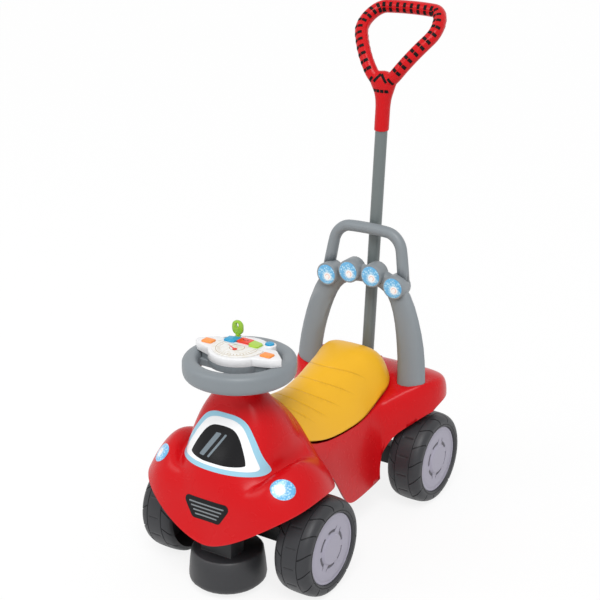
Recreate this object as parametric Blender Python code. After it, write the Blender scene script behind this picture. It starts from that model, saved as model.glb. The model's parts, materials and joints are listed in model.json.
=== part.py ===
"""Kids ride-on car: bodywork on four wheels, a steering wheel with a play console, a hinged seat
over a storage well, a roll bar with four lamps and a push handle at the back.

Metres, +Z up. The car faces -Y and its left side is +X. Lengths are measured from the middle of
the wheelbase, and heights of the bodywork from the top of the wheels, so that it follows them."""

import math

import bmesh
import bpy
from mathutils import Matrix, Vector

# Wheels and axles
WHEEL_RADIUS = 0.083
TYRE_WIDTH = 0.0635
TYRE_DEPTH = 0.0225
TYRE_WALL = 0.0045
WHEELBASE = 0.3773
FRONT_TRACK = 0.2715
REAR_TRACK = 0.2465
HUB_BOSS_RADIUS = 0.012
HUB_RECESS = 0.0105
HUB_CAP_SET_BACK = 0.0030
HUB_CAP_THICKNESS = 0.0030
HUB_CAP_CENTRE_RADIUS = 0.026
HUB_CAP_CENTRE_RISE = 0.0024
HUB_CAP_STEP = 0.0045
AXLE_RADIUS = 0.004
NUT_RADIUS = 0.009
NUT_THICKNESS = 0.003

# Clearances
FIT_GAP = 0.0003
RUNNING_GAP = 0.0005
SEAM_GAP = 0.0005

# Steering
CASTOR_TRAIL = 0.0164
COLUMN_RADIUS = 0.012
BUSH_WALL = 0.0035
HOUSING_WALL = 0.005
YOKE_BOSS_RADIUS = 0.022
YOKE_DEPTH = 0.024
YOKE_RISE = 0.017
YOKE_DROP = 0.013
YOKE_BOSS_HEIGHT = 0.0175
STEERING_WHEEL_RADIUS = 0.0925
RIM_OVER_COLLAR = 0.0339
RIM_WIDTH = 0.027
RIM_HEIGHT = 0.0330
RIM_SQUARENESS = 0.7
SPOKE_WIDTH = 0.046
SPOKE_THICKNESS = 0.012
SPOKE_RISE = 0.0056
HUB_RADIUS = 0.026
HUB_HEIGHT = 0.0255

# Play console, its places measured from the steering column
CONSOLE_BASE_HEIGHT = 0.0107
CONSOLE_BASE_INSET = 0.0035
CONSOLE_BASE_RADIUS = 0.0505
CONSOLE_RADIUS = 0.0505
CONSOLE_HEIGHT = 0.0135
CONSOLE_WINGS = ((-0.030, -0.0300), (0.030, -0.0300), (0.072, -0.0165), (0.085, -0.0030), (0.057, 0.0230),
                 (-0.057, 0.0230), (-0.085, -0.0030), (-0.072, -0.0165))
CONSOLE_WING_ROUNDING = (0.004, 0.004, 0.005, 0.006, 0.006, 0.006, 0.006, 0.005)
CONSOLE_WALL = 0.0025
CONSOLE_EDGE = 0.003
DIAL_RADIUS = 0.0440
DIAL_THICKNESS = 0.0014
BUTTON_TRAVEL = 0.002
BUTTON_RISE = 0.0026
BUTTON_FLANGE = 0.001
BUTTON_GAP = 0.0004
BUTTON_BOSS_WALL = 0.0035
BUTTON_BOSS_RISE = 0.0015
KEY_PLACE = (-0.0295, 0.0375)
KEY_BOSS_RADIUS = 0.0078
KEY_WIDTH = 0.0205
KEY_HEIGHT = 0.0245
KEY_RISE = 0.003
KEY_THICKNESS = 0.0052
KEY_STEM_RADIUS = 0.0042
SPEAKER_RADIUS = 0.014
CELL_RADIUS = 0.0055
CELL_LENGTH = 0.030

# Bodywork
SHELL_WALL = 0.0035
SEAM_Y = -0.120
COLLAR_RADIUS = 0.031
COLLAR_HEIGHT = 0.172
UPPER_BUSH_RADIUS = 0.0268
ARCH_CLEARANCE = 0.016
DECK_LEVEL = 0.0775
DECK_ROUNDING = 0.3
WELL_FLOOR = -0.048
WELL_DRAFT = 0.010
WELL_REACH = 0.93
TUB_RIM_DROP = 0.0036
TUB_WALL = 0.0025
TUB_FRONT_DROP = 0.0045
LEDGE = 0.010
LEDGE_FALL = 0.0065
LEDGE_CORNER_DROP = 0.003
SEAT_LIP_GAP = 0.0020
SEAT_SIDE_GAP = 0.0020

# Seat
SEAT_WALL = 0.0035
SEAT_REAR_Y = 0.1765
SEAT_ROUNDING_Y = 0.118
SEAT_ROUNDING_POWER = 2.8
SEAT_REAR_FLATNESS = 0.970
HINGE_Y = 0.1835
HINGE_HEIGHT = 0.0900
HINGE_SPREAD = 0.0250
HINGE_PIN_RADIUS = 0.002
KNUCKLE_RADIUS = 0.0045
KNUCKLE_LENGTH = 0.010
HINGE_ARM_REACH = 0.019
HINGE_ARM_LOW = 0.0035
HINGE_ARM_TOP = 0.0025
EAR_THICKNESS = 0.003
BRACKET_THICKNESS = 0.0025
POLE_NOTCH_RADIUS = 0.021

# Push handle, heights over the wheels
POLE_RADIUS = 0.011
POLE_WALL = 0.0012
POLE_Y = 0.1805
POLE_BOTTOM = -0.030
POLE_LEAN = 0.0906
POLE_TOP = 0.524
SOCKET_WALL = 0.003
SOCKET_BOTTOM = -0.0475
SOCKET_TOP = 0.0850
GRIP_BOTTOM = 0.498
GRIP_RADIUS = 0.0132
NECK_TOP = 0.578
NECK_RADIUS = 0.0165
LOOP_BOTTOM = 0.565
LOOP_HALF_WIDTH = 0.0961
LOOP_HEIGHT = 0.1336
LOOP_LOWER_ROUNDING = 0.0289
LOOP_UPPER_ROUNDING = 0.0246
LOOP_BOW = 0.005
LOOP_LEAN = math.radians(-14.7)
LOOP_SWEEP_BACK = 6.555
LOOP_RADIUS = 0.0120

# Roll bar, heights over the wheels
BAR_Y = 0.163
BAR_FOOT_LEVEL = 0.074
BAR_LEAN = 0.0963
BAR_TURN = math.radians(12.0)
LAMP_RADIUS = 0.021
LAMP_LENGTH = 0.034
LAMP_FRONT_Y = 0.158
LENS_RADIUS = 0.0168
LENS_DEPTH = 0.005
ROOF_LAMPS = ((-0.0689, 0.2389), (-0.0233, 0.2523), (0.0233, 0.2523), (0.0689, 0.2389))
TOP_BAR_RADIUS = 0.011
TOP_BAR_FOOT = 0.0787
TOP_BAR_HALF_WIDTH = 0.0655
TOP_BAR_BOTTOM = 0.2389
TOP_BAR_TOP = 0.3248
TOP_BAR_ROUNDING = 0.032
TOP_BAR_BOW = 0.005
TOP_BAR_Y = 0.1805
TOP_BAR_LEAN = 0.0961

# Chassis
FRAME_TOP = -0.022
FRAME_THICKNESS = 0.008
FRAME_HALF_WIDTH = 0.045
FRAME_FRONT_Y = -0.275
FRAME_UPRIGHT = 0.034
FRAME_UPRIGHT_THICKNESS = 0.004
CARRIER_HALF_WIDTH = 0.035
CARRIER_FRONT_Y = 0.040
CARRIER_PLATE = 0.0075
CARRIER_BEAM_DEPTH = 0.040
CARRIER_BEAM_DROP = 0.012
STOP_Y = -0.248
STOP_GROUND_GAP = 0.008
STOP_RADIUS = 0.0645
STOP_HEIGHT = 0.058
STOP_NECK = ((-0.030, -0.280), (0.030, -0.244))

# The middle of the overall length lies a little behind the middle of the wheelbase
CENTRE_SHIFT = -0.0123

WHEEL_TOP = 2.0 * WHEEL_RADIUS
FRONT_AXLE_Y = -WHEELBASE / 2.0
REAR_AXLE_Y = WHEELBASE / 2.0
COLUMN_Y = FRONT_AXLE_Y - CASTOR_TRAIL
SEAT_FRONT_Y = SEAM_Y + SEAM_GAP
HUB_CAP_RADIUS = WHEEL_RADIUS - TYRE_DEPTH - FIT_GAP
RIM_LEVEL = COLLAR_HEIGHT + RIM_OVER_COLLAR
SPOKE_TOP = WHEEL_TOP + RIM_LEVEL + SPOKE_RISE
CONSOLE_BASE_TOP = SPOKE_TOP + FIT_GAP + CONSOLE_BASE_HEIGHT
CONSOLE_BOTTOM = CONSOLE_BASE_TOP + FIT_GAP
CONSOLE_TOP = CONSOLE_BOTTOM + CONSOLE_HEIGHT

# Half sections of the bonnet at angles from straight ahead round to the seat. Each runs from
# below the collar out to the edge of the shell: distance from the column, height over the wheels.
BONNET_SECTIONS = (
    (0.0, ((0.038, 0.132), (0.057, 0.094), (0.076, 0.066), (0.090, 0.038), (0.097, 0.006),
           (0.099, -0.031), (0.1066, -0.069))),
    (30.0, ((0.043, 0.136), (0.062, 0.099), (0.080, 0.066), (0.096, 0.038), (0.106, 0.014),
            (0.113, -0.016), (0.1215, -0.047))),
    (50.0, ((0.051, 0.137), (0.071, 0.099), (0.086, 0.065), (0.098, 0.041), (0.118, 0.042),
            (0.138, 0.014), (0.1435, -0.017))),
    (65.0, ((0.057, 0.138), (0.076, 0.102), (0.087, 0.070), (0.094, 0.051), (0.117, 0.063),
            (0.145, 0.030), (0.160, 0.005))),
    (90.0, ((0.061, 0.139), (0.078, 0.102), (0.086, 0.074), (0.092, 0.055), (0.116, 0.071),
            (0.145, 0.048), (0.157, 0.014))),
    (115.7, ((0.060, 0.140), (0.080, 0.108), (0.092, 0.078), (0.103, 0.058), (0.122, 0.050),
             (0.145, 0.028), (0.1565, 0.004))),
    (130.0, ((0.058, 0.142), (0.075, 0.122), (0.088, 0.098), (0.100, 0.075), (0.112, 0.058),
             (0.124, 0.041), (0.1322, 0.027))),
    (147.0, ((0.052, 0.144), (0.063, 0.134), (0.073, 0.125), (0.081, 0.116), (0.088, 0.107),
             (0.095, 0.098), (0.1013, 0.089))),
    (180.0, ((0.044, 0.147), (0.052, 0.142), (0.059, 0.137), (0.066, 0.132), (0.073, 0.127),
             (0.079, 0.122), (0.085, 0.118))),
)
BONNET_CORNER = 5
BONNET_CORNER_RINGS = 6

# Ribs of the body from the middle of its front round to the middle of its tail: the place on the
# seat's outline (0 to 1 across its front, to 2 along its side, to 3 across its back), the widest
# point of the side (x, y), the height of the lower edge, and the shoulder (x, y, height)
BODY_RIBS = (
    (0.000, (0.0000, -0.1195), 0.000, (0.0000, -0.1195, 0.095)),
    (0.550, (0.0450, -0.1195), -0.002, (0.0450, -0.1195, 0.075)),
    (1.000, (0.0870, -0.1195), -0.006, (0.0810, -0.1195, 0.048)),
    (1.150, (0.0885, -0.0750), -0.022, (0.0800, -0.0750, 0.034)),
    (1.240, (0.0890, -0.0570), -0.042, (0.0795, -0.0480, 0.030)),
    (1.300, (0.0890, -0.0440), -0.061, (0.0792, -0.0300, 0.027)),
    (1.365, (0.0890, -0.0270), -0.087, (0.0790, -0.0110, 0.025)),
    (1.440, (0.0890, -0.0050), -0.106, (0.0788, 0.0120, 0.023)),
    (1.580, (0.0890, 0.0500), -0.1045, (0.0790, 0.0530, 0.025)),
    (1.735, (0.0900, 0.0950), -0.098, (0.0800, 0.1000, 0.035)),
    (1.860, (0.1260, 0.1340), -0.046, (0.1150, 0.1380, 0.063)),
    (1.930, (0.1480, 0.1780), 0.018, (0.1400, 0.1760, 0.071)),
    (1.975, (0.1490, 0.2190), 0.028, (0.1385, 0.2090, 0.071)),
    (2.200, (0.1260, 0.2530), 0.030, (0.1150, 0.2330, 0.068)),
    (2.600, (0.0650, 0.2600), 0.031, (0.0600, 0.2380, 0.067)),
    (3.000, (0.0000, 0.2610), 0.031, (0.0000, 0.2380, 0.067)),
)
BODY_CORNER = 2
LEDGE_ROW = 6

# The seat along its length: half width, height of its lower edge, height of its ridge and how
# square its crown is
SEAT_HALF_WIDTH = ((-0.119, 0.0770), (-0.040, 0.0755), (0.050, 0.0755), (0.095, 0.0720), (0.140, 0.0765))
SEAT_EDGE = ((-0.119, 0.058), (-0.080, 0.043), (-0.040, 0.034), (0.016, 0.030), (0.054, 0.031),
             (0.093, 0.038), (0.120, 0.052), (0.150, 0.066), (0.165, 0.077), (0.179, 0.085))
SEAT_RIDGE = ((-0.119, 0.118), (-0.046, 0.110), (-0.010, 0.115), (0.020, 0.121), (0.050, 0.128),
              (0.080, 0.132), (0.110, 0.134), (0.135, 0.130), (0.155, 0.118), (0.179, 0.093))
SEAT_SQUARENESS = ((-0.119, 2.0), (0.020, 2.2), (0.080, 3.4), (0.120, 5.5), (0.179, 6.0))

# Half of the roll bar's arch from its foot to its middle: distance from the middle, height, and
# the half widths of its oval section across and along the car
ROLL_BAR = (
    (0.1080, 0.040, 0.0262, 0.0140), (0.1075, 0.074, 0.0260, 0.0140), (0.1045, 0.109, 0.0254, 0.0138),
    (0.0985, 0.144, 0.0246, 0.0134), (0.0890, 0.180, 0.0235, 0.0130), (0.0765, 0.211, 0.0220, 0.0126),
    (0.0610, 0.2310, 0.0200, 0.0122), (0.0410, 0.2420, 0.0178, 0.0122), (0.0200, 0.2465, 0.0168, 0.0122),
    (0.0000, 0.2475, 0.0165, 0.0122),
)

RED = ((0.58, 0.018, 0.022), 0.32)
YELLOW = ((0.86, 0.50, 0.035), 0.38)
GREY = ((0.215, 0.240, 0.258), 0.42)
DARK_GREY = ((0.045, 0.045, 0.050), 0.48)
BLACK = ((0.012, 0.012, 0.013), 0.50)
LILAC_GREY = ((0.42, 0.39, 0.46), 0.42)
POLE_GREY = ((0.165, 0.190, 0.200), 0.36)
WHITE = ((0.82, 0.82, 0.83), 0.30)
CREAM = ((0.80, 0.76, 0.62), 0.30)
ORANGE = ((0.90, 0.30, 0.055), 0.32)
BLUE = ((0.02, 0.28, 0.60), 0.28)
SIGNAL_RED = ((0.75, 0.045, 0.02), 0.32)
LIGHT_GREEN = ((0.38, 0.60, 0.05), 0.32)
GREEN = ((0.26, 0.56, 0.02), 0.30)
LENS_BLUE = ((0.22, 0.55, 0.85), 0.12)
BOARD_GREEN = ((0.02, 0.16, 0.06), 0.55)
CELL_GOLD = ((0.45, 0.33, 0.12), 0.35)
STEEL = ((0.62, 0.62, 0.63), 0.28)

# Buttons: place from the column, half width and half depth (or one radius), and colour
BUTTONS = {
    "button_left": ((0.057, -0.005), (0.0098, 0.0080), ORANGE),
    "button_right": ((-0.057, -0.005), (0.0098, 0.0080), ORANGE),
    "button_blue": ((-0.0286, 0.0180), (0.0096, 0.0085), BLUE),
    "button_red": ((-0.0052, 0.0240), (0.0115, 0.0085), SIGNAL_RED),
    "button_green": ((0.0184, 0.0188), (0.0092, 0.0085), LIGHT_GREEN),
    "button_round": ((0.0355, 0.0333), (0.0074,), BLUE),
}
BUTTON_ROUNDING = 0.0025


def clear_scene():
    for old in list(bpy.data.objects):
        bpy.data.objects.remove(old, do_unlink=True)


def material(name, finish, metallic):
    colour, roughness = finish
    mat = bpy.data.materials.new(name)
    mat.use_nodes = True
    shader = mat.node_tree.nodes["Principled BSDF"]
    shader.inputs["Base Color"].default_value = (*colour, 1.0)
    shader.inputs["Roughness"].default_value = roughness
    shader.inputs["Metallic"].default_value = metallic
    return mat


def link(name, data, root):
    obj = bpy.data.objects.new(name, data)
    bpy.context.scene.collection.objects.link(obj)
    obj.parent = root
    return obj


def place(name, mesh, finish, origin, turn=(0.0, 0.0, 0.0), metallic=0.0):
    """Put a piece whose points are measured from its own origin in the scene."""
    if isinstance(mesh, bmesh.types.BMesh):
        data = bpy.data.meshes.new(name)
        mesh.to_mesh(data)
        mesh.free()
        if finish is not None:
            data.materials.append(material(name, finish, metallic))
        data.shade_smooth()
        data.set_sharp_from_angle(angle=math.radians(38.0))
    else:
        data = mesh
    obj = link(name, data, bpy.data.objects["centre"])
    obj.location = origin
    obj.rotation_euler = turn
    return obj


def add(name, mesh, finish=None, origin=(0.0, 0.0, 0.0), metallic=0.0):
    """Put a piece built in its place in the scene, with its origin at the point given."""
    bmesh.ops.translate(mesh, vec=-Vector(origin), verts=mesh.verts)
    return place(name, mesh, finish, origin, metallic=metallic)


def boolean(obj, others, operation):
    for other in others:
        modifier = obj.modifiers.new(operation.title(), "BOOLEAN")
        modifier.operation = operation
        modifier.object = other
        other.hide_render = True
        other.display_type = "WIRE"


def cut(obj, *cutters):
    boolean(obj, cutters, "DIFFERENCE")


def fuse(obj, *others):
    boolean(obj, others, "UNION")


def thicken(obj, wall):
    modifier = obj.modifiers.new("Wall", "SOLIDIFY")
    modifier.thickness = wall
    modifier.offset = -1.0
    modifier.use_quality_normals = True


def round_edges(obj, width, segments=2, angle=50.0):
    modifier = obj.modifiers.new("Edges", "BEVEL")
    modifier.width = width
    modifier.segments = segments
    modifier.limit_method = "ANGLE"
    modifier.angle_limit = math.radians(angle)


def through(knots, at):
    """The value at a place on a smooth curve through (place, value) knots."""
    if at <= knots[0][0]:
        return knots[0][1]
    if at >= knots[-1][0]:
        return knots[-1][1]
    span = max(i for i in range(len(knots) - 1) if knots[i][0] <= at)

    def slope(i):
        low, high = max(i - 1, 0), min(i + 1, len(knots) - 1)
        return (knots[high][1] - knots[low][1]) / (knots[high][0] - knots[low][0])

    (start, first), (end, last) = knots[span], knots[span + 1]
    width = end - start
    t = (at - start) / width
    return (first * ((1 + 2 * t) * (1 - t) ** 2) + slope(span) * (width * t * (1 - t) ** 2)
            + last * (t * t * (3 - 2 * t)) - slope(span + 1) * (width * t * t * (1 - t)))


def mirrored(knots, start=True, end=True, odd=False):
    """Knots carried on past their ends as in a mirror, so that a curve crosses it smoothly."""
    sign = -1.0 if odd else 1.0
    before = [(2 * knots[0][0] - at, sign * value) for at, value in reversed(knots[1:3])]
    after = [(2 * knots[-1][0] - at, sign * value) for at, value in reversed(knots[-3:-1])]
    return (before if start else []) + list(knots) + (after if end else [])


def along(points, share):
    """The point at a share of the way along a smooth curve through evenly spaced points."""
    knots = [(float(i), point) for i, point in enumerate(points)]
    return through(knots, share * (len(points) - 1))


def skin(rows, wrap_rows=False, wrap_columns=True, first_cap=False, last_cap=False, flip=False):
    """A mesh through rows of points, each row with the same number of points."""
    bm = bmesh.new()
    grid = [[bm.verts.new(point) for point in row] for row in rows]
    count = len(grid[0])
    pairs = list(zip(grid, grid[1:]))
    if wrap_rows:
        pairs.append((grid[-1], grid[0]))
    for low, high in pairs:
        for i in range(count if wrap_columns else count - 1):
            j = (i + 1) % count
            corners = (low[i], low[j], high[j], high[i])
            bm.faces.new(tuple(reversed(corners)) if flip else corners)
    if first_cap:
        bm.faces.new(tuple(reversed(grid[0])))
    if last_cap:
        bm.faces.new(tuple(grid[-1]))
    if wrap_rows or (first_cap and last_cap):
        bmesh.ops.recalc_face_normals(bm, faces=bm.faces)
    return bm


def circle(count):
    return [2.0 * math.pi * i / count for i in range(count)]


def ring(section, segments, on_flats=False):
    """A ring about Z with a closed section of (radius, height) points. On its flats, a flat of the
    ring and not a corner faces along X and Y, at the full radius."""
    half = math.pi / segments if on_flats else 0.0
    reach = 1.0 / math.cos(half)
    angles = [a + half for a in circle(segments)]
    rows = [[(reach * r * math.cos(a), reach * r * math.sin(a), h) for a in angles] for r, h in section]
    return skin(rows, wrap_rows=True)


def spindle(profile, segments):
    """A solid about Z from (radius, height) points that start and end at its flat ends."""
    rows = [[(r * math.cos(a), r * math.sin(a), h) for a in circle(segments)] for r, h in profile]
    return skin(rows, first_cap=True, last_cap=True)


def tube(inner, outer, low, high, segments=24):
    return ring(((inner, low), (outer, low), (outer, high), (inner, high)), segments)


def rod(radius, low, high, segments=20):
    return spindle(((radius, low), (radius, high)), segments)


def moved(mesh, offset=(0.0, 0.0, 0.0), turn=None):
    if turn is not None:
        bmesh.ops.rotate(mesh, cent=(0.0, 0.0, 0.0), matrix=turn, verts=mesh.verts)
    bmesh.ops.translate(mesh, vec=offset, verts=mesh.verts)
    return mesh


def across(mesh):
    """Lay a piece made about Z along X, its top towards +X."""
    return moved(mesh, turn=Matrix.Rotation(math.radians(90.0), 3, "Y"))


def prism(outline, low, high):
    """An upright plate with an outline of (x, y) points between two heights."""
    rows = [[(x, y, z) for x, y in outline] for z in (low, high)]
    return skin(rows, first_cap=True, last_cap=True)


def side_prism(outline, low, high):
    """A plate square to X with an outline of (y, z) points."""
    rows = [[(x, y, z) for y, z in outline] for x in (low, high)]
    return skin(rows, first_cap=True, last_cap=True)


def box(low, high):
    (x0, y0, z0), (x1, y1, z1) = low, high
    return prism(((x0, y0), (x1, y0), (x1, y1), (x0, y1)), z0, z1)


def rounded(corners, radii, steps=4):
    """Points of a closed polygon whose corners are arcs."""
    points = []
    count = len(corners)
    for i in range(count):
        here = Vector(corners[i])
        back = (Vector(corners[i - 1]) - here).normalized()
        ahead = (Vector(corners[(i + 1) % count]) - here).normalized()
        half = back.angle(ahead) / 2.0
        radius = radii[i % len(radii)]
        centre = here + (back + ahead).normalized() * (radius / math.sin(half))
        start = here + back * (radius / math.tan(half)) - centre
        end = here + ahead * (radius / math.tan(half)) - centre
        first = math.atan2(start.y, start.x)
        swing = (math.atan2(end.y, end.x) - first + math.pi) % (2.0 * math.pi) - math.pi
        for step in range(steps + 1):
            a = first + swing * step / steps
            points.append((centre.x + radius * math.cos(a), centre.y + radius * math.sin(a)))
    return points


def rounded_rectangle(low, high, radius, steps=4):
    (x0, y0), (x1, y1) = low, high
    return rounded(((x0, y0), (x1, y0), (x1, y1), (x0, y1)), (radius,), steps)


def sweep(path, sections, face, sides=12, closed=False):
    """A tube along a path. Each section has its half width across the path, its half depth along
    face, and its turn about the path."""
    rows = []
    for i, point in enumerate(path):
        before = path[i - 1] if i or closed else path[i]
        after = path[(i + 1) % len(path)] if i + 1 < len(path) or closed else path[i]
        ahead = (after - before).normalized()
        depth = (face - ahead * face.dot(ahead)).normalized()
        wide = depth.cross(ahead)
        half_width, half_depth, turn = sections[i]
        spin = Matrix.Rotation(turn, 3, ahead)
        wide, depth = spin @ wide, spin @ depth
        rows.append([point + wide * (half_width * math.cos(a)) + depth * (half_depth * math.sin(a))
                     for a in circle(sides)])
    return skin(rows, wrap_rows=closed, first_cap=not closed, last_cap=not closed)


def seat_half_width(y):
    width = through(SEAT_HALF_WIDTH, y)
    if y <= SEAT_ROUNDING_Y:
        return width
    share = SEAT_REAR_FLATNESS * (y - SEAT_ROUNDING_Y) / (SEAT_REAR_Y - SEAT_ROUNDING_Y)
    return width * (1.0 - share ** SEAT_ROUNDING_POWER) ** (1.0 / SEAT_ROUNDING_POWER)


def seat_point(y, share):
    """A point of the seat's surface, share being 0 on its ridge and 1 or -1 at its edges."""
    edge, ridge = through(SEAT_EDGE, y), through(SEAT_RIDGE, y)
    rise = (ridge - edge) * (1.0 - abs(share) ** through(SEAT_SQUARENESS, y))
    return Vector((seat_half_width(y) * share, y, WHEEL_TOP + edge + rise))


def seam_height(x):
    """Height of the bonnet's rear edge, which runs on over the body as the seat's front does."""
    return seat_point(SEAT_FRONT_Y, min(x / seat_half_width(SEAT_FRONT_Y), 1.0)).z


def seat_edge(spot, inset):
    """A point on the seat's outline, moved inwards by inset: 0 to 1 from the middle of its front
    to the corner, to 2 along its side and to 3 across its back."""
    if spot < 1.0:
        y = SEAT_FRONT_Y + inset
        return Vector((spot * (seat_half_width(SEAT_FRONT_Y) - inset), y, 0.0))
    y = SEAT_FRONT_Y + (SEAT_REAR_Y - SEAT_FRONT_Y) * min(spot - 1.0, 1.0)
    edge = Vector((seat_half_width(y) * (1.0 - max(spot - 2.0, 0.0)), y, 0.0))
    inwards = (Vector((0.0, min(y, 0.6 * SEAT_REAR_Y), 0.0)) - edge).normalized()
    edge += inwards * inset
    edge.y += max(inset, 0.0) * max(1.0 - (spot - 1.0) / 0.3, 0.0) ** 2
    return edge


def bonnet_rows(front_steps=12, rear_steps=6, steps=12):
    """Rows of points round the bonnet from the collar out to the edge."""
    sections = [(angle, ((COLLAR_RADIUS, COLLAR_HEIGHT), *points)) for angle, points in BONNET_SECTIONS]
    rings = len(sections[0][1])
    corner = sections[BONNET_CORNER][0]

    def half_section(angle):
        profile = []
        for i in range(rings):
            knots = [(at, Vector(points[i])) for at, points in sections]
            if i < BONNET_CORNER_RINGS:
                profile.append(through(mirrored(knots), angle))
            elif angle <= corner:
                profile.append(through(mirrored(knots[:BONNET_CORNER + 1], end=False), angle))
            else:
                profile.append(through(mirrored(knots[BONNET_CORNER:], start=False), angle))
        return profile

    half = [corner * i / front_steps for i in range(front_steps)]
    half += [corner + (180.0 - corner) * i / rear_steps for i in range(rear_steps + 1)]
    columns = []
    for angle in half + [-angle for angle in reversed(half[1:-1])]:
        profile = half_section(abs(angle))
        turn = math.radians(angle)
        column = []
        for step in range(steps + 1):
            reach, height = along(profile, step / steps)
            y = min(COLUMN_Y - reach * math.cos(turn), SEAM_Y)
            column.append(Vector((reach * math.sin(turn), y, WHEEL_TOP + height)))
        edge = column[-1]
        if abs(edge.x) < seat_half_width(SEAT_FRONT_Y) and edge.y > COLUMN_Y:
            edge.y = SEAM_Y
            edge.z = seam_height(abs(edge.x))
        columns.append(column)
    return [list(row) for row in zip(*columns)]


def build_bonnet():
    bonnet = add("bonnet_shell", skin(bonnet_rows(), flip=True), RED)
    thicken(bonnet, SHELL_WALL)


def body_rib(at):
    """The points up one rib of the body, from its lower edge in to the floor of the well."""
    front = at <= BODY_CORNER
    ribs = list(enumerate(BODY_RIBS))
    ribs = ribs[:BODY_CORNER + 1] if front else ribs[BODY_CORNER:]

    def value(pick, odd=False):
        knots = [(float(i), pick(rib)) for i, rib in ribs]
        return through(mirrored(knots, start=front, end=not front, odd=odd), at)

    spot = through([(float(i), rib[0]) for i, rib in ribs], at)
    low = value(lambda rib: rib[2])
    side = Vector((value(lambda rib: rib[1][0], odd=True), value(lambda rib: rib[1][1]), low))
    shoulder = Vector((value(lambda rib: rib[3][0], odd=True), value(lambda rib: rib[3][1]),
                       value(lambda rib: rib[3][2])))
    bulge = side.copy()
    bulge.z = low + 0.35 * (shoulder.z - low)
    upper = side.lerp(shoulder, 0.25)
    upper.z = low + 0.80 * (shoulder.z - low)

    y = SEAT_FRONT_Y + (SEAT_REAR_Y - SEAT_FRONT_Y) * min(max(spot - 1.0, 0.0), 1.0)
    corner_drop = LEDGE_CORNER_DROP * max(1.0 - 4.0 * abs(spot - 1.0), 0.0)
    edge_height = through(SEAT_EDGE, y) - SEAT_LIP_GAP - corner_drop
    if front:
        arch = seat_point(SEAT_FRONT_Y, min(1.15 * spot, 1.0)).z - WHEEL_TOP
        level = max(arch - 2.8 * SEAT_WALL, edge_height)
    else:
        level = min(edge_height, DECK_LEVEL)
    outer = seat_edge(spot, 0.0 if front else -SEAT_SIDE_GAP)
    outer.z = level
    deck = shoulder.lerp(outer, DECK_ROUNDING)
    deck.z = max(deck.z, level + (shoulder.z - level) * (1.0 - DECK_ROUNDING) ** 3)
    inner = seat_edge(spot, LEDGE)
    wall = seat_edge(spot, LEDGE + 0.0015)
    foot = seat_edge(spot, LEDGE + WELL_DRAFT * 0.8)
    foot.z = WELL_FLOOR + 0.010
    floor = seat_edge(spot, LEDGE + WELL_DRAFT + 0.006)
    floor.z = WELL_FLOOR
    for point in (inner, wall, foot, floor):
        point.y = SEAT_FRONT_Y + (point.y - SEAT_FRONT_Y) * WELL_REACH
    inner.z = min(level, through(SEAT_EDGE, inner.y) - SEAT_LIP_GAP) - LEDGE_FALL
    if front:
        inner.z = level - LEDGE_FALL
    wall.z = inner.z - 0.012
    lift = Vector((0.0, 0.0, WHEEL_TOP))
    points = (side, bulge, upper, shoulder, deck, outer, inner, wall, foot, floor)
    return [point + lift for point in points]


def body_rows(front_steps=4, rib_steps=2):
    """Rows of points round the body from its lower edge up and in to the floor of the well."""
    last = len(BODY_RIBS) - 1
    places = [BODY_CORNER * i / front_steps for i in range(front_steps)]
    places += [BODY_CORNER + i / rib_steps for i in range((last - BODY_CORNER) * rib_steps + 1)]
    half = [body_rib(at) for at in places]
    other = [[Vector((-p.x, p.y, p.z)) for p in rib] for rib in reversed(half[1:-1])]
    return [list(row) for row in zip(*(half + other))]


def roll_bar_points(spare=0.0, steps=1.5):
    """The path and sections of the roll bar's arch, made larger by spare."""
    knots = [Vector((x, height, wide + spare, deep + spare)) for x, height, wide, deep in ROLL_BAR]
    count = round((len(knots) - 1) * steps)
    path, sections = [], []
    for i in range(-count, count + 1):
        side = -1.0 if i < 0 else 1.0
        x, height, wide, deep = along(list(reversed(knots)), abs(i) / count)
        y = BAR_Y + (height - BAR_FOOT_LEVEL) * BAR_LEAN
        turn = BAR_TURN * min(max((0.20 - height) / 0.06, 0.0), 1.0)
        path.append(Vector((side * x, y, WHEEL_TOP + height)))
        sections.append((wide, deep, -turn))
    return path, sections


def roll_bar_mesh(spare=0.0):
    path, sections = roll_bar_points(spare)
    return sweep(path, sections, Vector((0.0, 1.0, 0.0)), sides=12)


def lamp_barrel(x, height, spare=0.0):
    profile = ((LAMP_RADIUS - 0.0012 + spare, 0.0), (LAMP_RADIUS + spare, 0.0015),
               (LAMP_RADIUS + spare, LAMP_LENGTH - 0.006 + spare),
               (LAMP_RADIUS - 0.005 + spare, LAMP_LENGTH + spare))
    barrel = spindle(profile, 20)
    back = Matrix.Rotation(math.radians(-90.0), 3, "X")
    return moved(barrel, (x, LAMP_FRONT_Y, WHEEL_TOP + height), back)


def build_roll_bar():
    bar = add("roll_bar", roll_bar_mesh(), GREY)
    back = Matrix.Rotation(math.radians(-90.0), 3, "X")
    for i, (x, height) in enumerate(ROOF_LAMPS, 1):
        front = Vector((x, LAMP_FRONT_Y, WHEEL_TOP + height))
        fuse(bar, add(f"barrel_{i}", lamp_barrel(x, height)))
        seat = rod(LENS_RADIUS + FIT_GAP, -0.001, LENS_DEPTH + FIT_GAP, 20)
        cut(bar, add(f"lens_seat_{i}", moved(seat, front, back)))
        lens = spindle(((0.006, 0.0), (LENS_RADIUS - 0.003, 0.0012), (LENS_RADIUS, 0.0032),
                        (LENS_RADIUS, LENS_DEPTH)), 20)
        add(f"roof_lamp_{i}", moved(lens, front, back), LENS_BLUE)

    top = add("roll_bar_top", top_bar_mesh(), GREY)
    cut(top, add("arch_cutter", roll_bar_mesh(FIT_GAP)))
    cut(top, *(add(f"barrel_cutter_{i}", lamp_barrel(x, height, FIT_GAP))
               for i, (x, height) in enumerate(ROOF_LAMPS, 1)))


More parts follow.
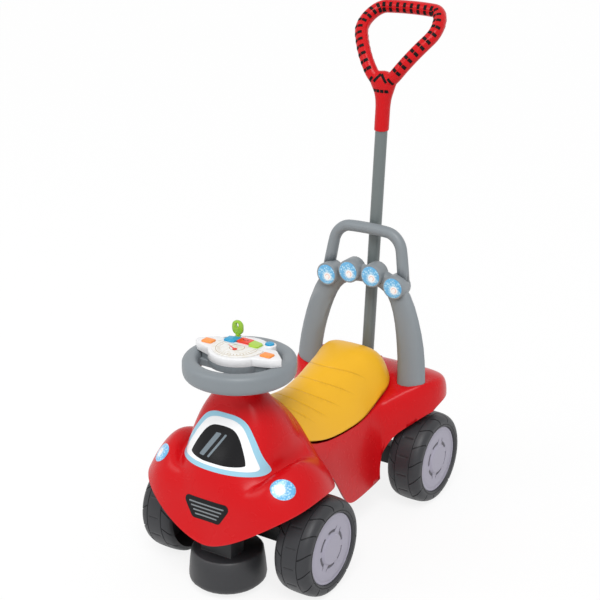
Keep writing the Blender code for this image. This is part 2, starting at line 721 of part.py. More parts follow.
def top_bar_mesh():
    rise = TOP_BAR_TOP - TOP_BAR_BOTTOM
    corners = ((-TOP_BAR_FOOT, 0.0), (-TOP_BAR_HALF_WIDTH, rise), (TOP_BAR_HALF_WIDTH, rise),
               (TOP_BAR_FOOT, 0.0))
    outline = rounded(corners, (0.001, TOP_BAR_ROUNDING, TOP_BAR_ROUNDING, 0.001), steps=6)
    bend = outline[7:21]
    points = [corners[0], *bend[:7], (0.0, rise), *bend[7:], corners[3]]
    path = []
    for x, height in points:
        bow = TOP_BAR_BOW * (1.0 - (x / TOP_BAR_FOOT) ** 2) * (height / rise) ** 2
        height += TOP_BAR_BOTTOM + bow
        y = TOP_BAR_Y + (height - TOP_BAR_BOTTOM) * TOP_BAR_LEAN
        path.append(Vector((x, y, WHEEL_TOP + height)))
    sections = [(TOP_BAR_RADIUS, TOP_BAR_RADIUS, 0.0)] * len(path)
    return sweep(path, sections, Vector((0.0, 1.0, 0.0)), sides=10)


def pole_point(height):
    """The point on the push pole's axis at a height over the wheels."""
    return Vector((0.0, POLE_Y + (height - POLE_BOTTOM) * POLE_LEAN, WHEEL_TOP + height))


def on_pole(mesh):
    """Set a piece made about Z on the push pole's axis, heights measured from the wheel tops."""
    turn = Matrix.Rotation(-math.atan(POLE_LEAN), 3, "X")
    stretch = math.sqrt(1.0 + POLE_LEAN ** 2)
    for vert in mesh.verts:
        vert.co.z *= stretch
    return moved(mesh, pole_point(0.0), turn)


def build_body():
    rows = body_rows()
    body = add("body_shell", skin(rows[:LEDGE_ROW + 1]), RED)
    thicken(body, SHELL_WALL)
    rim = []
    for point in rows[LEDGE_ROW]:
        nearness = min(max((-0.080 - point.y) / 0.015, 0.0), 1.0)
        rim.append(point - Vector((0.0, 0.0, TUB_RIM_DROP + TUB_FRONT_DROP * nearness)))
    tub = add("storage_tub", skin([rim, *rows[LEDGE_ROW + 1:]], last_cap=True), RED)
    thicken(tub, TUB_WALL)
    for side in (-1.0, 1.0):
        arch = across(rod(WHEEL_RADIUS + ARCH_CLEARANCE, 0.080, 0.200, 40))
        if side < 0.0:
            moved(arch, turn=Matrix.Rotation(math.pi, 3, "Z"))
        moved(arch, (0.0, REAR_AXLE_Y, WHEEL_RADIUS))
        cut(body, add(f"arch_cutter_{'left' if side > 0.0 else 'right'}", arch))
    cut(body, add("leg_cutter", roll_bar_mesh(FIT_GAP)))
    cut(body, add("socket_cutter", on_pole(rod(POLE_RADIUS + RUNNING_GAP + SOCKET_WALL + FIT_GAP,
                                               SOCKET_BOTTOM, SOCKET_TOP + 0.02))))


def build_push_handle():
    inner = POLE_RADIUS + RUNNING_GAP
    outer = inner + SOCKET_WALL
    foot = pole_point(POLE_BOTTOM)
    add("pole_socket", on_pole(tube(inner, outer, SOCKET_BOTTOM, SOCKET_TOP)), BLACK)
    pole = tube(POLE_RADIUS - POLE_WALL, POLE_RADIUS, POLE_BOTTOM, POLE_TOP, 20)
    add("push_pole", on_pole(pole), POLE_GREY, foot)

    grip = ((GRIP_RADIUS, GRIP_BOTTOM), (GRIP_RADIUS, LOOP_BOTTOM - 0.012),
            (NECK_RADIUS, LOOP_BOTTOM + 0.002), (NECK_RADIUS - 0.003, NECK_TOP))
    handle = add("push_handle", on_pole(spindle(grip, 20)), RED, foot)
    outline = rounded(((0.0, 0.0), (LOOP_HALF_WIDTH, LOOP_HEIGHT), (-LOOP_HALF_WIDTH, LOOP_HEIGHT)),
                      (LOOP_LOWER_ROUNDING, LOOP_UPPER_ROUNDING, LOOP_UPPER_ROUNDING), steps=6)
    flat = []
    for i, point in enumerate(outline):
        after = outline[(i + 1) % len(outline)]
        parts = max(1, round(math.dist(point, after) / 0.014))
        flat += [Vector(point).lerp(Vector(after), k / parts) for k in range(parts)]
    path = []
    for x, up in flat:
        up += LOOP_BOW * (1.0 - (x / LOOP_HALF_WIDTH) ** 2) * (up / LOOP_HEIGHT) ** 4
        base = pole_point(LOOP_BOTTOM)
        path.append(base + Vector((x, up * math.sin(LOOP_LEAN) + LOOP_SWEEP_BACK * up * up,
                                   up * math.cos(LOOP_LEAN))))
    sections = [(LOOP_RADIUS, LOOP_RADIUS, 0.0)] * len(path)
    fuse(handle, add("loop", sweep(path, sections, Vector((0.0, 1.0, 0.0)), sides=12, closed=True)))
    cut(handle, add("pole_bore", on_pole(rod(POLE_RADIUS + FIT_GAP, GRIP_BOTTOM - 0.01,
                                             POLE_TOP + FIT_GAP, 20))))


def build_seat():
    rows = 19
    columns = 11
    axis = Vector((0.0, HINGE_Y, WHEEL_TOP + HINGE_HEIGHT))
    grid = []
    for i in range(rows):
        share = i / (rows - 1)
        share = 0.5 * (share + math.sin(0.5 * math.pi * share))
        y = SEAT_FRONT_Y + (SEAT_REAR_Y - SEAT_FRONT_Y) * share
        grid.append([seat_point(y, math.sin(0.5 * math.pi * (2.0 * j / (columns - 1) - 1.0)))
                     for j in range(columns)])
    seat = add("seat", skin(grid, wrap_columns=False), YELLOW, axis)
    thicken(seat, SEAT_WALL)
    cut(seat, add("pole_notch", on_pole(rod(POLE_NOTCH_RADIUS, 0.060, 0.200))))
    for side, name in ((1.0, "left"), (-1.0, "right")):
        centre = axis + Vector((side * HINGE_SPREAD, 0.0, 0.0))
        slot_half = KNUCKLE_LENGTH / 2.0 + FIT_GAP
        slot = box(centre - Vector((slot_half, HINGE_ARM_REACH, 3 * HINGE_ARM_LOW)),
                   centre + Vector((slot_half, 0.0, HINGE_ARM_TOP + FIT_GAP)))
        cut(seat, add(f"arm_slot_{name}", slot))
        build_hinge(name, centre)


def build_hinge(name, centre):
    """The seat's hinge arm, let into its rear rim, with a bracket on the deck and the pin."""
    half = KNUCKLE_LENGTH / 2.0
    arm = box(centre - Vector((half, HINGE_ARM_REACH, HINGE_ARM_LOW)), centre + Vector((half, 0.0, HINGE_ARM_TOP)))
    knuckle = moved(across(rod(KNUCKLE_RADIUS, -half, half, 16)), centre)
    bore = moved(across(rod(HINGE_PIN_RADIUS + FIT_GAP, -2 * half, 2 * half, 12)), centre)
    hinge_arm = add(f"seat_hinge_arm_{name}", arm, YELLOW, centre)
    fuse(hinge_arm, add(f"knuckle_{name}", knuckle))
    cut(hinge_arm, add(f"knuckle_bore_{name}", bore))

    half += FIT_GAP
    reach = half + EAR_THICKNESS
    deck = WHEEL_TOP + DECK_LEVEL + 2 * FIT_GAP
    ear = [(centre.y - 0.0055, deck), (centre.y + 0.0055, deck)]
    ear += [(centre.y + KNUCKLE_RADIUS * math.cos(a), centre.z + KNUCKLE_RADIUS * math.sin(a))
            for a in (math.pi * i / 8 for i in range(9))]
    plate = box((centre.x - reach, centre.y - 0.0055, deck),
                (centre.x + reach, centre.y + 0.0055, deck + BRACKET_THICKNESS))
    bracket = add(f"hinge_bracket_{name}", plate, RED)
    for i, low in enumerate((centre.x - reach, centre.x + half)):
        fuse(bracket, add(f"ear_{name}_{i}", side_prism(ear, low, low + EAR_THICKNESS)))
    hole = moved(across(rod(HINGE_PIN_RADIUS + FIT_GAP / 2.0, -2 * reach, 2 * reach, 12)), centre)
    cut(bracket, add(f"pin_hole_{name}", hole))
    pin = moved(across(rod(HINGE_PIN_RADIUS, -reach, reach, 12)), centre)
    add(f"seat_hinge_pin_{name}", pin, STEEL, centre, metallic=1.0)


def tyre_mesh():
    half = TYRE_WIDTH / 2.0
    recess = WHEEL_RADIUS - TYRE_DEPTH
    step = half - HUB_CAP_SET_BACK - HUB_CAP_THICKNESS - FIT_GAP
    web = half - HUB_RECESS
    bore = AXLE_RADIUS + FIT_GAP
    section = (
        (recess, half - 0.0010), (recess + 0.0025, half), (WHEEL_RADIUS - 0.0075, half),
        (WHEEL_RADIUS - 0.0030, half - 0.0030), (WHEEL_RADIUS - 0.0007, half - 0.0090),
        (WHEEL_RADIUS, half - 0.0180), (WHEEL_RADIUS, 0.0160 - half),
        (WHEEL_RADIUS - 0.0012, 0.0080 - half), (WHEEL_RADIUS - 0.0040, 0.0020 - half),
        (WHEEL_RADIUS - 0.0105, -half), (WHEEL_RADIUS - 0.0125, web - TYRE_WALL),
        (HUB_BOSS_RADIUS, web - TYRE_WALL), (HUB_BOSS_RADIUS, -half), (bore, -half), (bore, web),
        (recess - HUB_CAP_STEP, web), (recess - HUB_CAP_STEP, step), (recess, step),
    )
    return ring(section, 24, on_flats=True)


def hub_cap_mesh():
    face = TYRE_WIDTH / 2.0 - HUB_CAP_SET_BACK
    top = face + HUB_CAP_CENTRE_RISE
    profile = ((HUB_CAP_RADIUS, face - HUB_CAP_THICKNESS), (HUB_CAP_RADIUS, face),
               (HUB_CAP_CENTRE_RADIUS + 0.0020, face), (HUB_CAP_CENTRE_RADIUS - 0.0020, top))
    return spindle(profile, 24)


def build_wheels():
    tyre = cap = nut = None
    web = TYRE_WIDTH / 2.0 - HUB_RECESS
    for end, track, y in (("front", FRONT_TRACK, FRONT_AXLE_Y), ("rear", REAR_TRACK, REAR_AXLE_Y)):
        for side, turn in (("left", math.pi / 2.0), ("right", -math.pi / 2.0)):
            x = track / 2.0 if side == "left" else -track / 2.0
            spot = (x, y, WHEEL_RADIUS)
            twist = (0.0, turn, 0.0)
            tyre = place(f"tyre_{end}_{side}", tyre or tyre_mesh(), DARK_GREY, spot, twist).data
            cap = place(f"hub_cap_{end}_{side}", cap or hub_cap_mesh(), LILAC_GREY, spot, twist).data
            washer = nut or tube(AXLE_RADIUS + 0.0001, NUT_RADIUS, web + FIT_GAP,
                                 web + FIT_GAP + NUT_THICKNESS, 16)
            nut = place(f"axle_nut_{end}_{side}", washer, STEEL, spot, twist, metallic=1.0).data
        half = track / 2.0 + web + FIT_GAP + NUT_THICKNESS + 0.0005
        axle = moved(across(rod(AXLE_RADIUS, -half, half, 16)), (0.0, y, WHEEL_RADIUS))
        add(f"{end}_axle", axle, STEEL, (0.0, y, WHEEL_RADIUS), metallic=1.0)


def build_steering():
    pivot = Vector((0.0, COLUMN_Y, 0.0))
    boss_low = WHEEL_RADIUS + YOKE_RISE - 0.001
    boss_top = WHEEL_RADIUS + YOKE_RISE + YOKE_BOSS_HEIGHT
    half = FRONT_TRACK / 2.0 - TYRE_WIDTH / 2.0 - RUNNING_GAP
    beam = box((-half, FRONT_AXLE_Y - YOKE_DEPTH / 2.0, WHEEL_RADIUS - YOKE_DROP),
               (half, FRONT_AXLE_Y + YOKE_DEPTH / 2.0, WHEEL_RADIUS + YOKE_RISE))
    yoke = add("steering_yoke", beam, BLACK, pivot)
    round_edges(yoke, 0.003)
    fuse(yoke, add("yoke_boss", moved(rod(YOKE_BOSS_RADIUS, boss_low - 0.010, boss_top, 24), pivot)))
    cut(yoke, add("yoke_column_bore", moved(rod(COLUMN_RADIUS + FIT_GAP, boss_low, boss_top + 0.01), pivot)))
    bore = moved(across(rod(AXLE_RADIUS + FIT_GAP, -2 * half, 2 * half, 16)),
                 (0.0, FRONT_AXLE_Y, WHEEL_RADIUS))
    cut(yoke, add("yoke_axle_bore", bore))

    hub_low = SPOKE_TOP - HUB_HEIGHT
    column_top = hub_low + 0.010
    add("steering_column", moved(rod(COLUMN_RADIUS, boss_low + FIT_GAP, column_top, 20), pivot),
        BLACK, pivot)

    rim_radius = STEERING_WHEEL_RADIUS - RIM_WIDTH / 2.0
    level = WHEEL_TOP + RIM_LEVEL
    section = []
    for a in circle(10):
        wide = math.copysign(abs(math.cos(a)) ** RIM_SQUARENESS, math.cos(a))
        high = math.copysign(abs(math.sin(a)) ** RIM_SQUARENESS, math.sin(a))
        section.append((rim_radius + RIM_WIDTH / 2.0 * wide, level + RIM_HEIGHT / 2.0 * high))
    wheel = add("steering_wheel", moved(ring(section, 30), pivot), GREY, pivot)
    spokes = box((-rim_radius, COLUMN_Y - SPOKE_WIDTH / 2.0, SPOKE_TOP - SPOKE_THICKNESS),
                 (rim_radius, COLUMN_Y + SPOKE_WIDTH / 2.0, SPOKE_TOP))
    hub = moved(rod(HUB_RADIUS, hub_low, SPOKE_TOP, 24), pivot)
    bore = moved(rod(COLUMN_RADIUS + FIT_GAP, hub_low - 0.01, column_top + FIT_GAP), pivot)
    fuse(wheel, add("spokes", spokes), add("steering_hub", hub))
    cut(wheel, add("hub_bore", bore))

    bush_low = boss_top + RUNNING_GAP
    bush_top = WHEEL_TOP + FRAME_TOP + 0.020
    inner = COLUMN_RADIUS + RUNNING_GAP
    add("lower_bush", moved(tube(inner, inner + BUSH_WALL, bush_low, bush_top), pivot), WHITE)
    upper_top = WHEEL_TOP + COLLAR_HEIGHT - 0.002
    upper = tube(inner, UPPER_BUSH_RADIUS, upper_top - 0.014, upper_top, 28)
    add("upper_bush", moved(upper, pivot), DARK_GREY)


def shrunk(outline, inset):
    """A closed outline moved inwards by inset."""
    points = [Vector(point) for point in outline]
    result = []
    for i, point in enumerate(points):
        before = (point - points[i - 1]).normalized()
        after = (points[(i + 1) % len(points)] - point).normalized()
        inward = Vector((-(before.y + after.y), before.x + after.x)).normalized()
        result.append(point + inward * (inset / max(inward.dot(Vector((-after.y, after.x))), 0.5)))
    return result


def wings_mesh(rows):
    """The console's two wings from (height, inset) pairs."""
    outline = rounded(CONSOLE_WINGS, CONSOLE_WING_ROUNDING, 2)
    return skin([[(x, COLUMN_Y + y, z) for x, y in shrunk(outline, inset)] for z, inset in rows],
                first_cap=True, last_cap=True)


def on_console(x, y, z=0.0):
    return Vector((x, COLUMN_Y + y, z))


def build_console():
    pivot = on_console(0.0, 0.0)
    base_low = SPOKE_TOP + FIT_GAP
    base_disc = rod(CONSOLE_BASE_RADIUS, base_low, CONSOLE_BASE_TOP, 32)
    base = add("console_base", moved(base_disc, pivot), GREY, pivot)
    base_wings = wings_mesh(((base_low, CONSOLE_BASE_INSET), (CONSOLE_BASE_TOP, CONSOLE_BASE_INSET)))
    fuse(base, add("base_wings", base_wings))
    tray = rod(CONSOLE_BASE_RADIUS - CONSOLE_WALL, base_low + CONSOLE_WALL, CONSOLE_BASE_TOP + 0.01, 32)
    rim_clearance = tube(STEERING_WHEEL_RADIUS - RIM_WIDTH - 2 * FIT_GAP, STEERING_WHEEL_RADIUS,
                         base_low - 0.01, CONSOLE_BASE_TOP + 0.01, 40)
    cut(base, add("base_tray", moved(tray, pivot)), add("rim_clearance", moved(rim_clearance, pivot)))

    edge = CONSOLE_EDGE
    profile = ((CONSOLE_RADIUS, CONSOLE_BOTTOM), (CONSOLE_RADIUS, CONSOLE_TOP - edge),
               (CONSOLE_RADIUS - 0.3 * edge, CONSOLE_TOP - 0.3 * edge), (CONSOLE_RADIUS - edge, CONSOLE_TOP))
    cover = add("console_cover", moved(spindle(profile, 30), pivot), WHITE, pivot)
    wings = ((CONSOLE_BOTTOM, 0.0), (CONSOLE_TOP - edge, 0.0), (CONSOLE_TOP - 0.3 * edge, 0.3 * edge),
             (CONSOLE_TOP, edge))
    key_boss = spindle(((KEY_BOSS_RADIUS, CONSOLE_BOTTOM + 0.001), (KEY_BOSS_RADIUS, CONSOLE_TOP - 0.001),
                        (KEY_BOSS_RADIUS - 0.001, CONSOLE_TOP - 0.0002)), 20)
    fuse(cover, add("cover_wings", wings_mesh(wings)),
         add("key_boss", moved(key_boss, on_console(*KEY_PLACE))))
    place_x, place_y = BUTTONS["button_round"][0]
    boss_radius = BUTTONS["button_round"][1][0] + BUTTON_BOSS_WALL
    boss = spindle(((boss_radius, CONSOLE_BOTTOM + 0.001), (boss_radius, CONSOLE_TOP + BUTTON_BOSS_RISE - 0.001),
                    (boss_radius - 0.001, CONSOLE_TOP + BUTTON_BOSS_RISE)), 24)
    fuse(cover, add("cover_boss", moved(boss, on_console(place_x, place_y))))
    inside_top = CONSOLE_TOP - CONSOLE_WALL
    inside = rod(CONSOLE_RADIUS - CONSOLE_WALL, CONSOLE_BOTTOM - 0.01, inside_top, 24)
    inside_wings = wings_mesh(((CONSOLE_BOTTOM - 0.01, CONSOLE_WALL), (inside_top, CONSOLE_WALL)))
    cut(cover, add("cover_inside", moved(inside, pivot)), add("cover_inside_wings", inside_wings))
    build_buttons(cover, inside_top)

    face = [(DIAL_RADIUS * math.cos(a), DIAL_RADIUS * math.sin(a))
            for a in (math.radians(-186.0 + 192.0 * i / 20) for i in range(21))]
    dial = prism(face, CONSOLE_TOP + FIT_GAP, CONSOLE_TOP + FIT_GAP + DIAL_THICKNESS)
    add("dial", moved(dial, pivot), CREAM, pivot)

    floor = base_low + CONSOLE_WALL
    board = box(on_console(-0.026, 0.013, floor + FIT_GAP), on_console(0.026, 0.032, floor + FIT_GAP + 0.0016))
    add("circuit_board", board, BOARD_GREEN, pivot)
    speaker = spindle(((SPEAKER_RADIUS, floor + FIT_GAP), (SPEAKER_RADIUS, floor + 0.003),
                       (0.007, floor + 0.0065)), 24)
    add("speaker", moved(speaker, on_console(0.0, -0.026)), BLACK, pivot)
    for i, shift in enumerate((-0.0060, 0.0060), 1):
        cell = moved(across(rod(CELL_RADIUS, -CELL_LENGTH / 2.0, CELL_LENGTH / 2.0, 16)),
                     on_console(0.0, shift, floor + CELL_RADIUS + FIT_GAP))
        add(f"battery_{i}", cell, CELL_GOLD, pivot, metallic=0.6)


def button_outline(size, grow, round_by):
    if len(size) == 1:
        return [((size[0] + grow) * math.cos(a), (size[0] + grow) * math.sin(a)) for a in circle(16)]
    half_x, half_y = size[0] + grow, size[1] + grow
    return rounded_rectangle((-half_x, -half_y), (half_x, half_y), round_by + grow, 2)


def build_buttons(cover, inside_top):
    for name, ((x, y), size, colour) in BUTTONS.items():
        raised = BUTTON_BOSS_RISE if len(size) == 1 else 0.0
        spot = on_console(x, y, CONSOLE_TOP + raised)
        top = BUTTON_RISE
        flange_top = inside_top - FIT_GAP - spot.z
        rows = []
        for z, grow in ((flange_top - 0.0012, BUTTON_FLANGE), (flange_top, BUTTON_FLANGE), (flange_top, 0.0),
                        (top - 0.0010, 0.0), (top, -0.0010)):
            rows.append([(px, py, z) for px, py in button_outline(size, grow, BUTTON_ROUNDING)])
        place(name, skin(rows, first_cap=True, last_cap=True), colour, spot)
        hole = prism(button_outline(size, BUTTON_GAP, BUTTON_ROUNDING), inside_top - 0.01, spot.z + 0.01)
        cut(cover, add(f"{name}_hole", moved(hole, on_console(x, y))))
        if raised:
            recess = prism(button_outline(size, BUTTON_FLANGE + BUTTON_GAP, 0.0), CONSOLE_BOTTOM, inside_top)
            cut(cover, add(f"{name}_recess", moved(recess, on_console(x, y))))

    spot = on_console(*KEY_PLACE)
    stem_low = inside_top - 0.004
    stem = rod(KEY_STEM_RADIUS, stem_low, CONSOLE_TOP + KEY_RISE + 0.002, 14)
    key = add("ignition_key", moved(stem, spot), GREEN, spot)
    low = CONSOLE_TOP + KEY_RISE
    outline = rounded_rectangle((-KEY_WIDTH / 2.0, low), (KEY_WIDTH / 2.0, low + KEY_HEIGHT),
                                0.46 * KEY_WIDTH, 5)
    rows = [[(spot.x + px, spot.y + depth, pz) for px, pz in outline]
            for depth in (-KEY_THICKNESS / 2.0, KEY_THICKNESS / 2.0)]
    bow = add("key_bow", skin(rows, first_cap=True, last_cap=True))
    round_edges(bow, 0.0012)
    eye = rounded_rectangle((-0.0030, low + 0.0125), (0.0030, low + 0.0205), 0.0028, 3)
    rows = [[(spot.x + px, spot.y + depth, pz) for px, pz in eye] for depth in (-0.01, 0.01)]
    fuse(key, bow)
    cut(key, add("key_eye", skin(rows, first_cap=True, last_cap=True)))
    hole = rod(KEY_STEM_RADIUS + BUTTON_GAP, stem_low - 0.01, CONSOLE_TOP + 0.01, 14)
    cut(cover, add("key_hole", moved(hole, spot)))


def build_chassis():
    plate_top = WHEEL_TOP + FRAME_TOP
    plate_low = plate_top - FRAME_THICKNESS
    rear = SEAT_FRONT_Y - FIT_GAP
    frame = add("front_frame", box((-FRAME_HALF_WIDTH, FRAME_FRONT_Y, plate_low),
                                   (FRAME_HALF_WIDTH, rear, plate_top)), BLACK)
    upright = box((-FRAME_HALF_WIDTH, rear - FRAME_UPRIGHT_THICKNESS, plate_top - 0.002),
                  (FRAME_HALF_WIDTH, rear, WHEEL_TOP + FRAME_UPRIGHT))
    bush_outer = COLUMN_RADIUS + RUNNING_GAP + BUSH_WALL + FIT_GAP
    housing_low = WHEEL_RADIUS + YOKE_RISE + YOKE_BOSS_HEIGHT + RUNNING_GAP
    pivot = (0.0, COLUMN_Y, 0.0)
    housing = moved(rod(bush_outer + HOUSING_WALL, housing_low, plate_top + 0.020, 24), pivot)
    bore = moved(rod(bush_outer, housing_low - 0.01, plate_top + 0.03, 24), pivot)
    fuse(frame, add("frame_upright", upright), add("bush_housing", housing))
    cut(frame, add("bush_bore", bore))

    (x0, y0), (x1, y1) = STOP_NECK
    low = STOP_GROUND_GAP
    profile = ((STOP_RADIUS - 0.008, low), (STOP_RADIUS - 0.001, low + 0.007), (STOP_RADIUS, low + 0.013),
               (STOP_RADIUS - 0.002, low + 0.036), (STOP_RADIUS - 0.0045, low + STOP_HEIGHT - 0.003),
               (STOP_RADIUS - 0.0075, low + STOP_HEIGHT))
    block = add("stop_block", moved(spindle(profile, 32), (0.0, STOP_Y, 0.0)), DARK_GREY)
    neck = box((x0, y0, low + STOP_HEIGHT - 0.004), (x1, y1, plate_low - FIT_GAP))
    fuse(block, add("stop_neck", neck))

    roof = WHEEL_TOP + WELL_FLOOR - TUB_WALL - FIT_GAP
    beam_low = WHEEL_RADIUS - CARRIER_BEAM_DROP - CARRIER_BEAM_DEPTH / 2.0
    beam_high = beam_low + CARRIER_BEAM_DEPTH
    outline = ((CARRIER_FRONT_Y, roof), (CARRIER_FRONT_Y, roof - CARRIER_PLATE),
               (REAR_AXLE_Y - 0.040, roof - CARRIER_PLATE), (REAR_AXLE_Y - 0.016, beam_low),
               (REAR_AXLE_Y + 0.016, beam_low), (REAR_AXLE_Y + 0.016, beam_high),
               (REAR_AXLE_Y - 0.012, beam_high), (REAR_AXLE_Y - 0.024, roof))
    carrier = add("rear_axle_carrier", side_prism(outline, -CARRIER_HALF_WIDTH, CARRIER_HALF_WIDTH), BLACK)
    half = REAR_TRACK / 2.0 - TYRE_WIDTH / 2.0 - RUNNING_GAP
    beam = box((-half, REAR_AXLE_Y - 0.013, beam_low + 0.002), (half, REAR_AXLE_Y + 0.013, beam_high - 0.002))
    bore = moved(across(rod(AXLE_RADIUS + FIT_GAP, -2 * half, 2 * half, 16)), (0.0, REAR_AXLE_Y, WHEEL_RADIUS))
    fuse(carrier, add("carrier_beam", beam))
    cut(carrier, add("carrier_bore", bore))


def main():
    clear_scene()
    centre = link("centre", None, None)
    centre.location = (0.0, CENTRE_SHIFT, 0.0)
    build_body()
    build_bonnet()
    build_seat()
    build_roll_bar()
    build_push_handle()
    build_chassis()
    build_steering()
    build_console()
    build_wheels()


main()
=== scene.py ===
"""Kids ride-on car: finishes and finer pieces set on the packed model, with a camera and soft light.

Metres, +Z up. The car faces -Y and its left side is +X, as in the packed model."""

import json
import math

import bmesh
import bpy
from bpy.props import FloatProperty, FloatVectorProperty, IntProperty, PointerProperty
from mathutils import Matrix, Vector
from mathutils.bvhtree import BVHTree

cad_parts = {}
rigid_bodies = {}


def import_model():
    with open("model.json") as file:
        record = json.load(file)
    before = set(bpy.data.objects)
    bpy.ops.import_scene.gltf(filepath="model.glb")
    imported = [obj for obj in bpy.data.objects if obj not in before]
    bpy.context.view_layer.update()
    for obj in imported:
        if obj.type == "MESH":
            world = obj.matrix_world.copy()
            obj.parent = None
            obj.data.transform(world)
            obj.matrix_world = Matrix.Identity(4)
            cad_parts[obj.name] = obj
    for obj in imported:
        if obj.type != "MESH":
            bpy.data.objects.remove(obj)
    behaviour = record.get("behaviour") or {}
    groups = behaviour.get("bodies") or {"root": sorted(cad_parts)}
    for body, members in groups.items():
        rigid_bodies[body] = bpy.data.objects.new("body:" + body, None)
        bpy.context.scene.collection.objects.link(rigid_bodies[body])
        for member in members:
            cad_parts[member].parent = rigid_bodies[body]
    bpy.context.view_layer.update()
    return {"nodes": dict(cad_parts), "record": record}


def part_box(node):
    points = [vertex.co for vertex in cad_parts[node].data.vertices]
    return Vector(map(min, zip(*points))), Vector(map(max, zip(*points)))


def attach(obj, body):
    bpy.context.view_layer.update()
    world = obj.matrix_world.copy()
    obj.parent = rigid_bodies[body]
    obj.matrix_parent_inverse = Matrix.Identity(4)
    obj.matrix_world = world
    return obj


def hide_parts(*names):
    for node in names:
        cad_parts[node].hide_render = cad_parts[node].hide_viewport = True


bl_info = {
    "name": "Ride-on Car Finishes",
    "version": (1, 0, 0),
    "blender": (4, 5, 0),
    "location": "View3D > Sidebar > Ride-on Car",
    "description": "Builds the finishes and finer pieces of a kids ride-on car",
    "category": "Object",
}

for leftover in list(bpy.data.objects):
    bpy.data.objects.remove(leftover, do_unlink=True)

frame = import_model()

UP = Vector((0.0, 0.0, 1.0))
LEFT = Vector((1.0, 0.0, 0.0))
AHEAD = Vector((0.0, -1.0, 0.0))

# The vertex mark of grooves, slots and channels, which the finishes darken with painted shade
LET_IN = "painted_let_in_shade"

WHEELS = ("front_left", "front_right", "rear_left", "rear_right")
LAMPS = ("roof_lamp_1", "roof_lamp_2", "roof_lamp_3", "roof_lamp_4")

# The plane ahead of the car from which its prints are thrown, how far the first layer of them stands
# off the bonnet, and how far each further layer stands off the one below
PRINT_PLANE = Vector((0.0, -0.33, 0.0))
PRINT_LIFT = 0.00018
PRINT_STEP = 0.00016

# The left headlamp's place on the bonnet, half its width and height, and its slant
HEADLAMP = (0.1201, -0.2736, 0.2087)
HEADLAMP_HALF_WIDTH = 0.0205
HEADLAMP_HALF_HEIGHT = 0.0165
HEADLAMP_SLANT = math.radians(-14.0)

# The push handle's loop, as the part's source has it, seen from its foot
POLE_LEAN = 0.0906
LOOP_FOOT = Vector((0.0, 0.22211, 0.731))
LOOP_HALF_WIDTH = 0.0961
LOOP_HEIGHT = 0.1336
LOOP_ROUNDING = (0.0289, 0.0246, 0.0246)
LOOP_BOW = 0.005
LOOP_LEAN = math.radians(-14.7)
LOOP_SWEEP_BACK = 6.555
LOOP_RADIUS = 0.0119
GRIP_RADIUS = 0.0132
GRIP_LENGTH = 0.067

# Dashes on the grip: how far they stand off it, how far from where they are aimed they may land, and
# how far from the loop's foot its rungs begin
DASH_LIFT = 0.0004
DASH_REACH = 0.022
WEB_REACH = 0.042

# What crosses a run of a tyre's section: nothing, the bent grooves of the shoulders, the short grooves
# of the middle, or a groove round the tyre
PLAIN, CROSS, SHORT, RING = "plain", "cross", "short", "ring"

# The bent grooves follow the square of the height, from BEND_FROM on. They are bent in full at
# BEND_FULL, and only the part of a tyre outside BEAD_RADIUS is bent.
TYRE_RADIUS = 0.083
BEAD_RADIUS = 0.06
BEND_FROM = 0.0140
BEND_FULL = 0.030

# How far the wheels are turned back from upright
CAP_TURN = {"front": math.radians(35.0), "rear": math.radians(17.0)}

# How far the seat channels reach to each side, the length over which they run out, and how far up a
# face has to look to be cut
CHANNEL_REACH = 0.062
CHANNEL_END = 0.010
UPWARD = 0.25

# Roof lamp lenses, whose flange covers the mouth of the barrel
LENS_RADIUS = 0.0186
LENS_BULGE = 0.0012

# The steering wheel's rim
COLUMN_Y = -0.21735
RIM_LEVEL = 0.3719
RIM_RADIUS = 0.0790
RIM_HALF_WIDTH = 0.0135
RIM_HALF_HEIGHT = 0.0165

# The top of its spokes, and half their width
SPOKE_TOP = RIM_LEVEL + 0.0056
SPOKE_HALF_WIDTH = 0.0230

# The dial, whose centre lies ahead of the steering column
DIAL_RADIUS = 0.0440
DIAL_FORWARD = 0.006

# Outlines of the three keys in a row behind the dial, from the steering column
KEY_TOPS = {
    "button_blue": ((-0.0385, 0.0090), (-0.0171, 0.0148), (-0.0171, 0.0322), (-0.0385, 0.0268)),
    "button_red": ((-0.0167, 0.0152), (0.0063, 0.0152), (0.0063, 0.0328), (-0.0167, 0.0328)),
    "button_green": ((0.0067, 0.0148), (0.0279, 0.0095), (0.0279, 0.0240), (0.0245, 0.0283),
                     (0.0067, 0.0322)),
}

# The share of its brightness with which the room lights, and the share of white in the floor as seen
ROOM_LIGHT = 0.54
FLOOR_GLOW = 0.84

# The camera that was fitted to the photograph: its lens in millimetres, its place, and its azimuth,
# elevation and roll in degrees
CAMERA_LENS = 87.84
CAMERA_PLACE = (1.26997, -1.95084, 1.27787)
CAMERA_ANGLES = (33.656, 20.348, -0.225)


